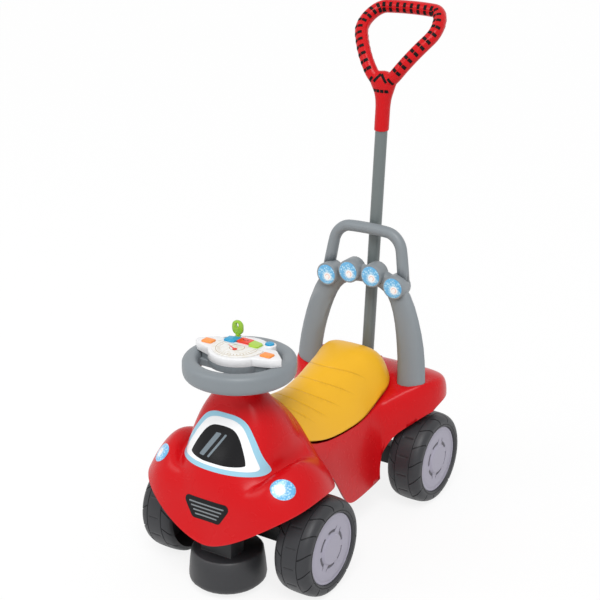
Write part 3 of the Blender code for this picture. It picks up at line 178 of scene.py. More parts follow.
class CarColours(bpy.types.PropertyGroup):
    """Colours of the car's plastics."""
    body: FloatVectorProperty(name="Body", description="Bonnet, body and grip", subtype="COLOR",
                              default=(0.56, 0.004, 0.007), min=0.0, max=1.0)
    seat: FloatVectorProperty(name="Seat", description="Seat shell", subtype="COLOR",
                              default=(0.81, 0.435, 0.018), min=0.0, max=1.0)
    bar: FloatVectorProperty(name="Bars", description="Roll bar and steering wheel", subtype="COLOR",
                             default=(0.215, 0.240, 0.258), min=0.0, max=1.0)
    tyre: FloatVectorProperty(name="Tyres", description="Tyres and stop block", subtype="COLOR",
                              default=(0.036, 0.037, 0.041), min=0.0, max=1.0)
    cap: FloatVectorProperty(name="Hub caps", description="Discs in the wheels", subtype="COLOR",
                             default=(0.345, 0.330, 0.405), min=0.0, max=1.0)
    glass: FloatVectorProperty(name="Windscreen", description="Printed frame of the windscreen",
                               subtype="COLOR", default=(0.30, 0.56, 0.70), min=0.0, max=1.0)
    lamp: FloatVectorProperty(name="Lamps", description="Blue of the lamps", subtype="COLOR",
                              default=(0.115, 0.43, 0.75), min=0.0, max=1.0)


class SeatSizes(bpy.types.PropertyGroup):
    """Channels moulded across the seat."""
    channels: IntProperty(name="Channels", description="Number of channels", default=5, min=0, max=12)
    pitch: FloatProperty(name="Pitch", description="Distance from one channel to the next",
                         default=0.0415, min=0.005, unit="LENGTH")
    width: FloatProperty(name="Width", description="Width of a channel",
                         default=0.0030, min=0.0005, unit="LENGTH")
    depth: FloatProperty(name="Depth", description="Depth of a channel",
                         default=0.0008, min=0.0, unit="LENGTH")
    first: FloatProperty(name="First", description="Place of the first channel along the car",
                         default=-0.146, unit="LENGTH")
    bow: FloatProperty(name="Bow", description="How far a channel bends back towards its ends, per metre",
                       default=17.0)


class TyreSizes(bpy.types.PropertyGroup):
    """Tread of the tyres and slots of the hub caps."""
    blocks: IntProperty(name="Blocks", description="Tread blocks round a tyre", default=15, min=3, max=60)
    slots: IntProperty(name="Slots", description="Curved slots round a hub cap", default=6, min=1, max=12)
    bend: FloatProperty(name="Bend", description="How far the cross grooves bend round the tyre",
                        default=0.20, min=0.0, subtype="ANGLE")
    groove_width: FloatProperty(name="Groove width", description="Width of the cross grooves",
                                default=0.0018, min=0.0002, unit="LENGTH")
    groove_depth: FloatProperty(name="Groove depth", description="Depth of the cross grooves",
                                default=0.0013, min=0.0, unit="LENGTH")
    ring_depth: FloatProperty(name="Ring depth", description="Depth of the grooves that run round the tyre",
                              default=0.0009, min=0.0, unit="LENGTH")
    slot_radius: FloatProperty(name="Slot radius", description="Radius on which the slots lie",
                               default=0.0305, min=0.01, unit="LENGTH")
    slot_width: FloatProperty(name="Slot width", description="Width of the slots",
                              default=0.0050, min=0.0005, unit="LENGTH")
    slot_depth: FloatProperty(name="Slot depth", description="Depth of the slots",
                              default=0.0014, min=0.0, unit="LENGTH")
    slot_hook: FloatProperty(name="Slot hook", description="How far the ends of a slot turn outwards",
                             default=0.0058, min=0.0, unit="LENGTH")


class GripSizes(bpy.types.PropertyGroup):
    """Dark dashes let into the push handle."""
    rungs: IntProperty(name="Rungs", description="Pairs of dashes round the loop", default=34, min=4, max=80)
    dash_width: FloatProperty(name="Dash width", description="Width of a dash along the loop",
                              default=0.0058, min=0.001, unit="LENGTH")


SETTINGS = {
    "ride_on_colours": CarColours,
    "ride_on_seat": SeatSizes,
    "ride_on_tyres": TyreSizes,
    "ride_on_grip": GripSizes,
}


def settings(name):
    return getattr(bpy.context.scene, f"ride_on_{name}")


# Node trees

class Value:
    """The output of a node, as a term in a formula."""

    def __init__(self, socket):
        self.socket = socket
        self.tree = socket.id_data

    def __add__(self, other):
        return calc("ADD", self, other)

    def __sub__(self, other):
        return calc("SUBTRACT", self, other)

    def __rsub__(self, other):
        return calc("SUBTRACT", other, self)

    def __mul__(self, other):
        return calc("MULTIPLY", self, other)

    def __truediv__(self, other):
        return calc("DIVIDE", self, other)

    def __abs__(self):
        return calc("ABSOLUTE", self)


def feed(item, inputs):
    """Give the inputs of a node numbers, colours or other nodes' outputs."""
    for key, value in inputs.items():
        if isinstance(value, Value):
            item.id_data.links.new(value.socket, item.inputs[key])
        else:
            item.inputs[key].default_value = value


def wire(tree, kind, inputs=None, **values):
    """Add a node, set its values and feed its inputs."""
    item = tree.nodes.new(kind)
    for key, value in values.items():
        setattr(item, key, value)
    feed(item, inputs or {})
    return item


def output(tree, kind, inputs=None, which=0, **values):
    return Value(wire(tree, kind, inputs, **values).outputs[which])


def calc(operation, *values):
    tree = next(value.tree for value in values if isinstance(value, Value))
    return output(tree, "ShaderNodeMath", dict(enumerate(values)), operation=operation)


def fade(value, start, end):
    """1 where the value is at start, falling smoothly to 0 at end."""
    return output(value.tree, "ShaderNodeMapRange",
                  {"Value": value, "From Min": start, "From Max": end, "To Min": 1.0, "To Max": 0.0},
                  interpolation_type="SMOOTHSTEP")


def grow(value, start, end):
    """0 where the value is at start, rising smoothly to 1 at end."""
    return 1.0 - fade(value, start, end)


def noise(coords, scale, detail, distortion=0.0):
    return output(coords.tree, "ShaderNodeTexNoise",
                  {"Vector": coords, "Scale": scale, "Detail": detail, "Distortion": distortion})


def scaled(vector, share):
    return output(vector.tree, "ShaderNodeVectorMath", {0: vector, "Scale": share}, operation="SCALE")


def blend_colour(share, first, second):
    tree = next(term.tree for term in (share, first, second) if isinstance(term, Value))
    first, second = (term if isinstance(term, Value) else (*term, 1.0) for term in (first, second))
    return output(tree, "ShaderNodeMix", {"Factor": share, "A": first, "B": second}, "Result",
                  data_type="RGBA")


def split(coords):
    return [Value(socket) for socket in wire(coords.tree, "ShaderNodeSeparateXYZ", {0: coords}).outputs]


def in_columns(tree):
    """Set the nodes of a tree out in columns, each to the right of what feeds it."""
    column = {}

    def depth(item):
        if item.name not in column:
            column[item.name] = 0
            feeders = [link.from_node for socket in item.inputs for link in socket.links]
            column[item.name] = 1 + max((depth(feeder) for feeder in feeders), default=-1)
        return column[item.name]

    rows = {}
    for item in tree.nodes:
        place = depth(item)
        item.location = (230.0 * place, -190.0 * rows.get(place, 0))
        rows[place] = rows.get(place, 0) + 1


def moulded_group():
    """Colour, roughness and relief of moulded plastic: faint mottling, fine grain, scuffs and
    paler, rubbed edges."""
    name = "Moulded plastic"
    if name in bpy.data.node_groups:
        return bpy.data.node_groups[name]
    tree = bpy.data.node_groups.new(name, "ShaderNodeTree")
    face = tree.interface
    colour = face.new_socket("Colour", in_out="INPUT", socket_type="NodeSocketColor")
    colour.default_value = (0.5, 0.5, 0.5, 1.0)
    for label, value in (("Roughness", 0.4), ("Mottle", 0.04), ("Grain Scale", 900.0), ("Scuffs", 0.3),
                         ("Edge Wear", 0.3)):
        face.new_socket(label, in_out="INPUT", socket_type="NodeSocketFloat").default_value = value
    for label, kind in (("Colour", "Color"), ("Roughness", "Float"), ("Height", "Float")):
        face.new_socket(label, in_out="OUTPUT", socket_type=f"NodeSocket{kind}")
    given = {socket.name: Value(socket) for socket in tree.nodes.new("NodeGroupInput").outputs}
    coords = output(tree, "ShaderNodeTexCoord", which="Object")
    cloud = noise(coords, 11.0, 3.0)
    grain = noise(coords, given["Grain Scale"], 2.0)
    stretched = output(tree, "ShaderNodeMapping", {"Vector": coords, "Scale": (1.0, 5.0, 1.6)})
    scuff = grow(noise(stretched, 46.0, 6.0, 0.7), 0.60, 0.74) * given["Scuffs"]
    edge = grow(output(tree, "ShaderNodeNewGeometry", which="Pointiness"), 0.53, 0.62) * given["Edge Wear"]
    shade = scaled(given["Colour"], (cloud - 0.5) * (given["Mottle"] * 4.0) + 1.0)
    pale = blend_colour(0.45, shade, (0.75, 0.75, 0.75))
    surface = {
        "Colour": blend_colour(edge * 0.5, shade, pale),
        "Roughness": given["Roughness"] + scuff * 0.22 + (cloud - 0.5) * 0.10,
        "Height": grain - scuff * 0.3,
    }
    wire(tree, "NodeGroupOutput", surface).is_active_output = True
    in_columns(tree)
    return tree


def plastic(name, colour, roughness, grain=900.0, relief=0.00006, mottle=0.03, scuffs=0.3, wear=0.25,
            specular=0.4, coat=0.0, metallic=0.0, transmission=0.0, pattern=None):
    """A moulded finish. A pattern is a function of the object coordinates that gives masks and the
    colours under them."""
    if name in bpy.data.materials:
        return bpy.data.materials[name]
    mat = bpy.data.materials.new(name)
    mat.use_nodes = True
    mat.diffuse_color = (*colour, 1.0)
    tree = mat.node_tree
    surface = wire(tree, "ShaderNodeGroup", {
        "Colour": (*colour, 1.0), "Roughness": roughness, "Mottle": mottle, "Grain Scale": grain,
        "Scuffs": scuffs, "Edge Wear": wear}, node_tree=moulded_group()).outputs
    tint = Value(surface["Colour"])
    if pattern:
        for mask, under in pattern(output(tree, "ShaderNodeTexCoord", which="Object")):
            tint = blend_colour(mask, tint, under)
    bump = {"Height": Value(surface["Height"]), "Strength": 0.5, "Distance": relief}
    feed(tree.nodes["Principled BSDF"], {
        "Base Color": tint, "Roughness": Value(surface["Roughness"]),
        "Normal": output(tree, "ShaderNodeBump", bump), "Specular IOR Level": specular, "Metallic": metallic,
        "Coat Weight": coat, "Coat Roughness": 0.12, "Transmission Weight": transmission})
    in_columns(tree)
    return mat


# Meshes

def body_of(node):
    groups = frame["record"]["behaviour"]["bodies"]
    return next(body for body, members in groups.items() if node in members)


def slot_of(node):
    return frame["nodes"][node].data.materials[0].name.split(".")[0]


def add_piece(name, mesh, mat, node=None, body=None, smooth=40.0, place=None):
    """Put a finished piece on its body. It stands in for a packed node, or else is given a body and a
    slot. A place gives it axes of its own, and its mesh is then made in them."""
    data = bpy.data.meshes.new(name)
    mesh.to_mesh(data)
    mesh.free()
    data.materials.clear()
    data.materials.append(mat)
    data.shade_smooth()
    data.set_sharp_from_angle(angle=math.radians(smooth))
    obj = bpy.data.objects.new(name, data)
    bpy.context.scene.collection.objects.link(obj)
    if place is not None:
        obj.matrix_world = place
    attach(obj, body or body_of(node))
    if node:
        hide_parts(node)
    return obj


def welded(node, quads=False):
    """The mesh of a packed node with its corners joined, and with four-sided faces where asked."""
    mesh = bmesh.new()
    mesh.from_mesh(frame["nodes"][node].data)
    bmesh.ops.remove_doubles(mesh, verts=mesh.verts, dist=0.00001)
    if quads:
        bmesh.ops.join_triangles(mesh, faces=mesh.faces, angle_face_threshold=math.radians(40.0),
                                 angle_shape_threshold=math.radians(70.0))
    return mesh


def dress(node, bevel=0.0, levels=0, crease_over=50.0, smooth=35.0, name=None):
    """Stand a smoother piece of the same shape in for a packed node."""
    mesh = welded(node, quads=levels > 0)
    if levels:
        crease = mesh.edges.layers.float.new("crease_edge")
        for edge in mesh.edges:
            if len(edge.link_faces) == 2 and edge.calc_face_angle(0.0) > math.radians(crease_over):
                edge[crease] = 1.0
    obj = add_piece(name or f"{node}_finished", mesh, finish(slot_of(node)), node, smooth=smooth)
    if levels:
        modifier = obj.modifiers.new("Finer", "SUBSURF")
        modifier.levels = modifier.render_levels = levels
    if bevel:
        modifier = obj.modifiers.new("Edges", "BEVEL")
        modifier.width = bevel
        modifier.segments = 2
        modifier.limit_method = "ANGLE"
        modifier.angle_limit = math.radians(40.0)
        modifier.harden_normals = True
    return obj


def soft_step(value, start, end):
    """0 up to start, rising smoothly to 1 at end."""
    share = min(1.0, max(0.0, (value - start) / (end - start)))
    return share * share * (3.0 - 2.0 * share)


def circle(count):
    return [2.0 * math.pi * i / count for i in range(count)]


def skin(rows, closed=False, marks=None):
    """A skin over rings of points, closed to a loop or else capped at both ends. Marks say how far each
    point is let in."""
    mesh = bmesh.new()
    layer = mesh.verts.layers.float.new(LET_IN) if marks else None
    grid = [[mesh.verts.new(point) for point in row] for row in rows]
    for vert, mark in zip(mesh.verts, marks or ()):
        vert[layer] = mark
    count = len(grid[0])
    for low, high in zip(grid, grid[1:] + grid[:1] if closed else grid[1:]):
        for i in range(count):
            j = (i + 1) % count
            mesh.faces.new((low[i], low[j], high[j], high[i]))
    if not closed:
        mesh.faces.new(tuple(reversed(grid[0])))
        mesh.faces.new(tuple(grid[-1]))
    bmesh.ops.recalc_face_normals(mesh, faces=mesh.faces)
    return mesh


def turned(profile, segments, centre=(0.0, 0.0), closed=False):
    """A piece about a vertical axis from (radius, height) points."""
    x, y = centre
    rows = [[(x + r * math.cos(a), y + r * math.sin(a), h) for a in circle(segments)] for r, h in profile]
    return skin(rows, closed)


def joined(meshes):
    """One mesh of several."""
    whole = bmesh.new()
    for mesh in meshes:
        data = bpy.data.meshes.new("part")
        mesh.to_mesh(data)
        mesh.free()
        whole.from_mesh(data)
        bpy.data.meshes.remove(data)
    return whole


def evaluated_tree(obj):
    """The final surface of a piece, for rays."""
    graph = bpy.context.evaluated_depsgraph_get()
    graph.update()
    final = obj.evaluated_get(graph)
    data = final.to_mesh()
    data.calc_loop_triangles()
    tree = BVHTree.FromPolygons([final.matrix_world @ v.co for v in data.vertices],
                                [tuple(t.vertices) for t in data.loop_triangles])
    final.to_mesh_clear()
    return tree


def flat_patch(outline, spacing):
    """A flat face with an outline of (u, v) points, cut into a grid."""
    mesh = bmesh.new()
    mesh.faces.new([mesh.verts.new((u, v, 0.0)) for u, v in outline])
    for axis, normal in enumerate((Vector((1.0, 0.0, 0.0)), Vector((0.0, 1.0, 0.0)))):
        low = min(point[axis] for point in outline)
        high = max(point[axis] for point in outline)
        for i in range(1, math.ceil((high - low) / spacing)):
            bmesh.ops.bisect_plane(mesh, geom=[*mesh.verts, *mesh.edges, *mesh.faces],
                                   plane_co=normal * (low + i * spacing), plane_no=normal)
    bmesh.ops.triangulate(mesh, faces=[face for face in mesh.faces if len(face.verts) > 4])
    return mesh


def facing(mesh, direction):
    """The mesh with its faces turned against a direction."""
    bmesh.ops.recalc_face_normals(mesh, faces=mesh.faces)
    if sum(face.normal.dot(direction) for face in mesh.faces) > 0.0:
        bmesh.ops.reverse_faces(mesh, faces=mesh.faces)
    return mesh


def laid_on(tree, outline, origin, right, up, lift, spacing=0.003):
    """A thin print with an outline of (u, v) points, thrown from a plane on to a surface."""
    right, up = right.normalized(), up.normalized()
    towards = up.cross(right).normalized()
    mesh = flat_patch(outline, spacing)
    for vert in mesh.verts:
        start = origin + right * vert.co.x + up * vert.co.y
        spot, normal, _, _ = tree.ray_cast(start - towards * 0.06, towards)
        if spot is None:
            raise RuntimeError("a print reaches past the surface that it lies on")
        if normal.dot(towards) > 0.0:
            normal = -normal
        vert.co = spot + normal * lift
    return facing(mesh, towards)


def smooth_outline(points, steps=6):
    """A closed smooth curve through (u, v) points."""
    count = len(points)
    curve = []
    for i in range(count):
        before, here, after, beyond = (Vector(points[(i + k) % count]) for k in (-1, 0, 1, 2))
        slope = after - before
        square = 2 * before - 5 * here + 4 * after - beyond
        cube = 3 * here - before - 3 * after + beyond
        for t in (step / steps for step in range(steps)):
            curve.append(0.5 * (2 * here + slope * t + square * t ** 2 + cube * t ** 3))
    return [(point.x, point.y) for point in curve]


def oblong(half_width, half_height, centre=(0.0, 0.0)):
    u, v = centre
    return ((u - half_width, v - half_height), (u + half_width, v - half_height),
            (u + half_width, v + half_height), (u - half_width, v + half_height))


def rounded(corners, radius, steps=5):
    """Points of a closed polygon whose corners are arcs."""
    points = []
    count = len(corners)
    for i in range(count):
        here = Vector(corners[i])
        back = (Vector(corners[i - 1]) - here).normalized()
        ahead = (Vector(corners[(i + 1) % count]) - here).normalized()
        half = back.angle(ahead) / 2.0
        size = radius[i % len(radius)] if isinstance(radius, tuple) else radius
        centre = here + (back + ahead).normalized() * (size / math.sin(half))
        start = here + back * (size / math.tan(half)) - centre
        end = here + ahead * (size / math.tan(half)) - centre
        first = math.atan2(start.y, start.x)
        swing = (math.atan2(end.y, end.x) - first + math.pi) % (2.0 * math.pi) - math.pi
        for step in range(steps + 1):
            a = first + swing * step / steps
            points.append((centre.x + size * math.cos(a), centre.y + size * math.sin(a)))
    return points


# Patterns let into the finishes

def painted_let_in_shade(dark, share):
    """Painted shade: darkens what a mesh marks as let in, in place of the shade that falls into grooves,
    slots and channels.
    """
    def pattern(coords):
        # the mark scales a painted shade colour over the recesses
        mark = output(coords.tree, "ShaderNodeAttribute", which="Fac", attribute_name=LET_IN)
        return [(mark * share, dark)]
    return pattern


def polar(across, up):
    return calc("SQRT", across * across + up * up), calc("ARCTAN2", up, across)


def repeated(angle, count, shift=0.0):
    """Distance to the nearest of evenly spread directions, as a share of their spacing."""
    turn = angle / (2.0 * math.pi / count) + (0.5 + shift)
    return calc("FRACT", turn + 100.0) - 0.5


def lamp_rings(coords, radius=LENS_RADIUS, off=(0.16, -0.18)):
    """A glowing middle, off to one side, in a blue ring flecked with painted glints. X is across and Y up
    the lamp.
    """
    x, y, _ = split(scaled(coords, 1.0 / radius))
    outer, _ = polar(x, y)
    inner, angle = polar(x - off[0], y - off[1])
    cells = output(coords.tree, "ShaderNodeTexVoronoi", {"Vector": coords, "Scale": 5.4 / radius},
                   "Distance", feature="F1")
    # Painted glints: pale flecks standing in for sparkles of light reflected by the lens
    glints = fade(cells, 0.25, 0.62) * grow(noise(coords, 2.6 / radius, 3.0), 0.28, 0.52)
    halo = fade(inner, 0.36, 0.60) * (abs(repeated(angle, 14)) * 0.9 + 0.25)
    ring = fade(abs(inner - 0.22), 0.02, 0.07) * calc("GREATER_THAN", angle, -1.2)
    deep = shaded(settings("colours").lamp, 0.55)
    return [(glints * 0.80, (0.50, 0.77, 0.91)), (halo, (0.80, 0.92, 0.97)),
            (fade(inner, 0.33, 0.42), (0.93, 0.92, 0.92)), (ring * 0.7, (0.80, 0.45, 0.36)),
            (grow(outer, 0.90, 0.97) * 0.45, deep)]


def dial_scale(coords):
    """Ticks and arcs printed on the dial."""
    x, y, _ = split(coords)
    radius, angle = polar(x, y + DIAL_FORWARD)
    ticks = fade(abs(repeated(angle, 36, 0.5)) * 0.0060, 0.0004, 0.0008)
    band = calc("GREATER_THAN", radius, 0.0270) * calc("LESS_THAN", radius, 0.0320)
    arc = fade(abs(radius - 0.0340), 0.0003, 0.0007)
    inner = fade(abs(radius - 0.0120), 0.0004, 0.0009)
    marks = calc("MAXIMUM", ticks * band, calc("MAXIMUM", arc, inner)) * calc("LESS_THAN", y, 0.0035)
    wash = grow(noise(coords, 120.0, 1.0), 0.45, 0.62)
    return [(wash * 0.30, (0.66, 0.58, 0.42)), (marks * 0.85, (0.42, 0.30, 0.16))]


def headlamp_rings(coords):
    return lamp_rings(coords, 0.0190, (-0.20, -0.06))


# Finishes

def shaded(colour, share):
    return tuple(share * part for part in colour)


def finish(name):
    """The finish of one of the record's material slots, or of a print."""
    colour = settings("colours")
    lens = {"coat": 0.6, "scuffs": 0.1, "wear": 0.0, "specular": 0.5}
    ink = {"wear": 0.0, "specular": 0.2}
    kinds = {
        "red_shell": ("Red moulded shell", colour.body, 0.27,
                      {"coat": 0.02, "mottle": 0.015, "scuffs": 0.22, "wear": 0.15, "specular": 0.18}),
        # The seat channels are darkened with painted shade.
        "yellow_seat": ("Yellow moulded seat", colour.seat, 0.36,
                        {"mottle": 0.012, "scuffs": 0.25, "wear": 0.12, "specular": 0.25,
                         "pattern": painted_let_in_shade(shaded(colour.seat, 0.60), 0.5)}),
        "grey_plastic": ("Grey moulded plastic", colour.bar, 0.42,
                         {"relief": 0.00010, "mottle": 0.025, "wear": 0.35}),
        "tyre_grey": ("Dark moulded block", shaded(colour.tyre, 0.72), 0.42,
                      {"relief": 0.00012, "scuffs": 0.45, "wear": 0.5}),
        # The tyre grooves are darkened nearly to black with painted shade.
        "tyre": ("Tyre tread", colour.tyre, 0.40,
                 {"relief": 0.00010, "scuffs": 0.45, "wear": 0.35, "specular": 0.28,
                  "pattern": painted_let_in_shade((0.006, 0.006, 0.007), 0.8)}),
        "black_plastic": ("Black moulded plastic", (0.010, 0.010, 0.011), 0.50,
                          {"relief": 0.00010, "scuffs": 0.4, "wear": 0.3}),
        # The hub cap slots are darkened with painted shade.
        "lilac_plastic": ("Hub cap plastic", colour.cap, 0.38,
                          {"mottle": 0.015, "scuffs": 0.25, "wear": 0.2,
                           "pattern": painted_let_in_shade(shaded(colour.cap, 0.16), 0.9)}),
        "pole_paint": ("Painted tube", (0.112, 0.136, 0.136), 0.34,
                       {"grain": 1600.0, "wear": 0.2, "specular": 0.5}),
        "white_plastic": ("White glossy plastic", (0.80, 0.80, 0.81), 0.24,
                          {"coat": 0.2, "mottle": 0.008, "scuffs": 0.2, "wear": 0.0, "specular": 0.5}),
        "cream_print": ("Printed dial", (0.80, 0.79, 0.76), 0.24,
                        {"coat": 0.3, "mottle": 0.01, "wear": 0.0, "pattern": dial_scale}),
        "orange_plastic": ("Orange key plastic", (0.92, 0.29, 0.05), 0.30, {"wear": 0.15}),
        "blue_plastic": ("Blue key plastic", (0.013, 0.31, 0.56), 0.26, {"wear": 0.1}),
        "signal_red_plastic": ("Red key plastic", (0.78, 0.040, 0.018), 0.28, {"wear": 0.1}),
        "light_green_plastic": ("Light green key plastic", (0.38, 0.60, 0.05), 0.28, {"wear": 0.1}),
        "green_plastic": ("Green key bow", (0.33, 0.62, 0.010), 0.14,
                          {"coat": 0.5, "wear": 0.0, "specular": 0.5, "transmission": 0.25}),
        # Lamp lenses and headlamp prints are flecked with painted glints by lamp_rings.
        "lens_blue": ("Lamp lens", colour.lamp, 0.16, {**lens, "pattern": lamp_rings}),
        "headlamp": ("Headlamp print", colour.lamp, 0.16, {**lens, "pattern": headlamp_rings}),
        "board_green": ("Circuit board lacquer", (0.02, 0.16, 0.06), 0.45, {"grain": 300.0}),
        "cell_gold": ("Battery wrap", (0.45, 0.33, 0.12), 0.32, {"metallic": 0.6}),
        "steel": ("Zinc plated steel", (0.60, 0.60, 0.61), 0.30,
                  {"grain": 1400.0, "metallic": 1.0, "scuffs": 0.4}),
        "dash_black": ("Soft black inlay", (0.003, 0.002, 0.002), 0.60,
                       {"relief": 0.00012, "wear": 0.0, "specular": 0.15}),
        "needle": ("Needle print", (0.75, 0.03, 0.02), 0.3, {"wear": 0.0}),
        "screen_frame": ("Windscreen frame print", colour.glass, 0.30, {"wear": 0.0}),
        "screen_band": ("Windscreen glass print", (0.86, 0.87, 0.88), 0.22, {"wear": 0.0}),
        "screen_shade": ("Windscreen dark print", (0.005, 0.005, 0.006), 0.25, ink),
        "screen_streak": ("Windscreen reflection print", (0.16, 0.20, 0.23), 0.22, {"wear": 0.0}),
        "grille": ("Grille print", (0.005, 0.005, 0.006), 0.35, ink),
        "grille_bar": ("Grille bar print", (0.19, 0.21, 0.225), 0.35, {"wear": 0.0}),
    }
    label, tint, roughness, others = kinds[name]
    return plastic(label, tuple(tint), roughness, **others)


class RIDEON_OT_shells(bpy.types.Operator):
    """Build the finished bonnet, body and storage tub"""
    bl_idname = "ride_on.shells"
    bl_label = "Bonnet and Body"

    def execute(self, context):
        for node, levels in (("bonnet_shell", 2), ("body_shell", 2), ("storage_tub", 1)):
            dress(node, levels=levels, crease_over=60.0, smooth=50.0)
        return {"FINISHED"}


class RIDEON_OT_prints(bpy.types.Operator):
    """Lay the windscreen, grille and headlamp prints on the bonnet"""
    bl_idname = "ride_on.prints"
    bl_label = "Bonnet Prints"

    def execute(self, context):
        tree = evaluated_tree(bpy.data.objects["bonnet_shell_finished"])
        self.lay_windscreen(tree)
        self.lay_grille(tree)
        for label, sign in (("left", 1.0), ("right", -1.0)):
            self.lay_headlamp(tree, label, sign)
        return {"FINISHED"}

    def lay(self, tree, name, outline, layer, kind, slot, spacing=0.003):
        """Lay a print on the front. Layers lie one over the other."""
        lift = PRINT_LIFT + PRINT_STEP * layer
        mesh = laid_on(tree, outline, PRINT_PLANE, LEFT, UP, lift, spacing)
        add_piece(name, mesh, finish(kind), body="car_body", smooth=80.0)

    def lay_windscreen(self, tree):
        outer = ((0.0, 0.3025), (0.0220, 0.3015), (0.0400, 0.2930), (0.0560, 0.2730), (0.0700, 0.2490),
                 (0.0815, 0.2280), (0.0830, 0.2210), (0.0750, 0.2180), (0.0500, 0.2185), (0.0250, 0.2190),
                 (0.0, 0.2190))
        middle = 0.2590
        inner = tuple((0.86 * u, middle + 0.83 * (v - middle)) for u, v in outer)
        shade = ((0.0, 0.2830), (0.0190, 0.2815), (0.0320, 0.2725), (0.0430, 0.2560), (0.0520, 0.2370),
                 (0.0490, 0.2320), (0.0250, 0.2300), (0.0, 0.2300))
        for layer, (name, kind, half) in enumerate((("windscreen_frame", "screen_frame", outer),
                                                    ("windscreen_glass", "screen_band", inner),
                                                    ("windscreen_shade", "screen_shade", shade))):
            outline = smooth_outline(list(half) + [(-u, v) for u, v in reversed(half[1:-1])])
            self.lay(tree, name, outline, layer, kind, "lens_blue")
        foot, top, lean = 0.2360, 0.2720, 0.022
        for i, (x, width) in enumerate(((-0.0270, 0.0050), (-0.0130, 0.0022))):
            low = ((x - width, foot), (x + width, foot))
            high = ((x + width + lean, top), (x - width + lean, top))
            self.lay(tree, f"windscreen_streak_{i + 1}", rounded(low + high, 0.0012, 3), 3,
                     "screen_streak", "white_plastic")

    def lay_grille(self, tree):
        panel = ((-0.0260, 0.1380), (0.0260, 0.1380), (0.0490, 0.1740), (-0.0490, 0.1740))
        self.lay(tree, "grille_print", rounded(panel, 0.0080, 4), 0, "grille", "black_plastic")
        bars = ((0.1455, 0.0215), (0.1520, 0.0255), (0.1585, 0.0300), (0.1650, 0.0340))
        for i, (z, reach) in enumerate(bars):
            strip = rounded(oblong(reach, 0.0012, (0.0, z)), 0.0010, 3)
            self.lay(tree, f"grille_bar_{i + 1}", strip, 1, "grille_bar", "grey_plastic", 0.002)

    def lay_headlamp(self, tree, label, sign):
        """An oval lamp with axes of its own, for the rings of its finish."""
        x, y, z = HEADLAMP
        spot, normal, _, _ = tree.find_nearest(Vector((sign * x, y, z)))
        right = UP.cross(normal).normalized()
        axes = Matrix((right, normal.cross(right).normalized(), normal)).transposed().to_4x4()
        place = Matrix.Translation(spot) @ axes @ Matrix.Rotation(HEADLAMP_SLANT * sign, 4, "Z")
        ellipse = [(HEADLAMP_HALF_WIDTH * math.cos(a), HEADLAMP_HALF_HEIGHT * math.sin(a))
                   for a in circle(40)]
        mesh = laid_on(tree, ellipse, spot, place.col[0].to_3d(), place.col[1].to_3d(), 0.00025, 0.002)
        bmesh.ops.transform(mesh, matrix=place.inverted(), verts=mesh.verts)
        add_piece(f"headlamp_{label}", mesh, finish("headlamp"), body="car_body",
                  smooth=80.0, place=place)


class RIDEON_OT_seat(bpy.types.Operator):
    """Build the finished seat with its moulded channels"""
    bl_idname = "ride_on.seat"
    bl_label = "Seat"

    def execute(self, context):
        rough = dress("seat", levels=2, crease_over=60.0, smooth=50.0, name="seat_smooth")
        mesh = bmesh.new()
        mesh.from_object(rough, context.evaluated_depsgraph_get())
        bpy.data.objects.remove(rough, do_unlink=True)
        self.cut_channels(mesh)
        add_piece("seat_finished", mesh, finish("yellow_seat"), "seat", smooth=60.0)
        for side in ("left", "right"):
            dress(f"seat_hinge_arm_{side}", bevel=0.0005)
            dress(f"hinge_bracket_{side}", bevel=0.0005)
            dress(f"seat_hinge_pin_{side}", bevel=0.0002)
        return {"FINISHED"}

    def cut_channels(self, mesh):
        """Let bowed channels into the seat, which is sheared so that each is straight while it is cut."""
        size = settings("seat")
        mark = mesh.verts.layers.float.new(LET_IN)
        middles = [size.first + i * size.pitch for i in range(size.channels)]
        for vert in mesh.verts:
            vert.co.y -= size.bow * vert.co.x ** 2
        for middle in middles:
            for share in (-0.5, -0.25, 0.0, 0.25, 0.5):
                self.cut_across(mesh, middle + share * size.width)
        straight = {vert: vert.co.y for vert in mesh.verts}
        for vert in mesh.verts:
            vert.co.y += size.bow * vert.co.x ** 2
        mesh.normal_update()
        moves = {}
        for vert, along in straight.items():
            off = min((abs(along - middle) for middle in middles), default=1.0)
            ends = min(1.0, max(0.0, (CHANNEL_REACH - 0.003 - abs(vert.co.x)) / CHANNEL_END))
            if off < size.width / 2.0 and ends > 0.0 and vert.normal.z > UPWARD:
                depth = (1.0 - (2.0 * off / size.width) ** 2) * ends
                vert[mark] = depth
                moves[vert] = vert.co - vert.normal * (depth * size.depth)
        for vert, place in moves.items():
            vert.co = place

    def cut_across(self, mesh, level):
        """Cut the upper faces of the seat along one line across."""
        near = [face for face in mesh.faces if face.normal.z > UPWARD
                and min(v.co.y for v in face.verts) < level < max(v.co.y for v in face.verts)
                and abs(face.calc_center_median().x) < CHANNEL_REACH]
        edges = {edge for face in near for edge in face.edges}
        verts = {vert for face in near for vert in face.verts}
        bmesh.ops.bisect_plane(mesh, geom=[*verts, *edges, *near], dist=0.00002,
                               plane_co=(0.0, level, 0.0), plane_no=(0.0, 1.0, 0.0))


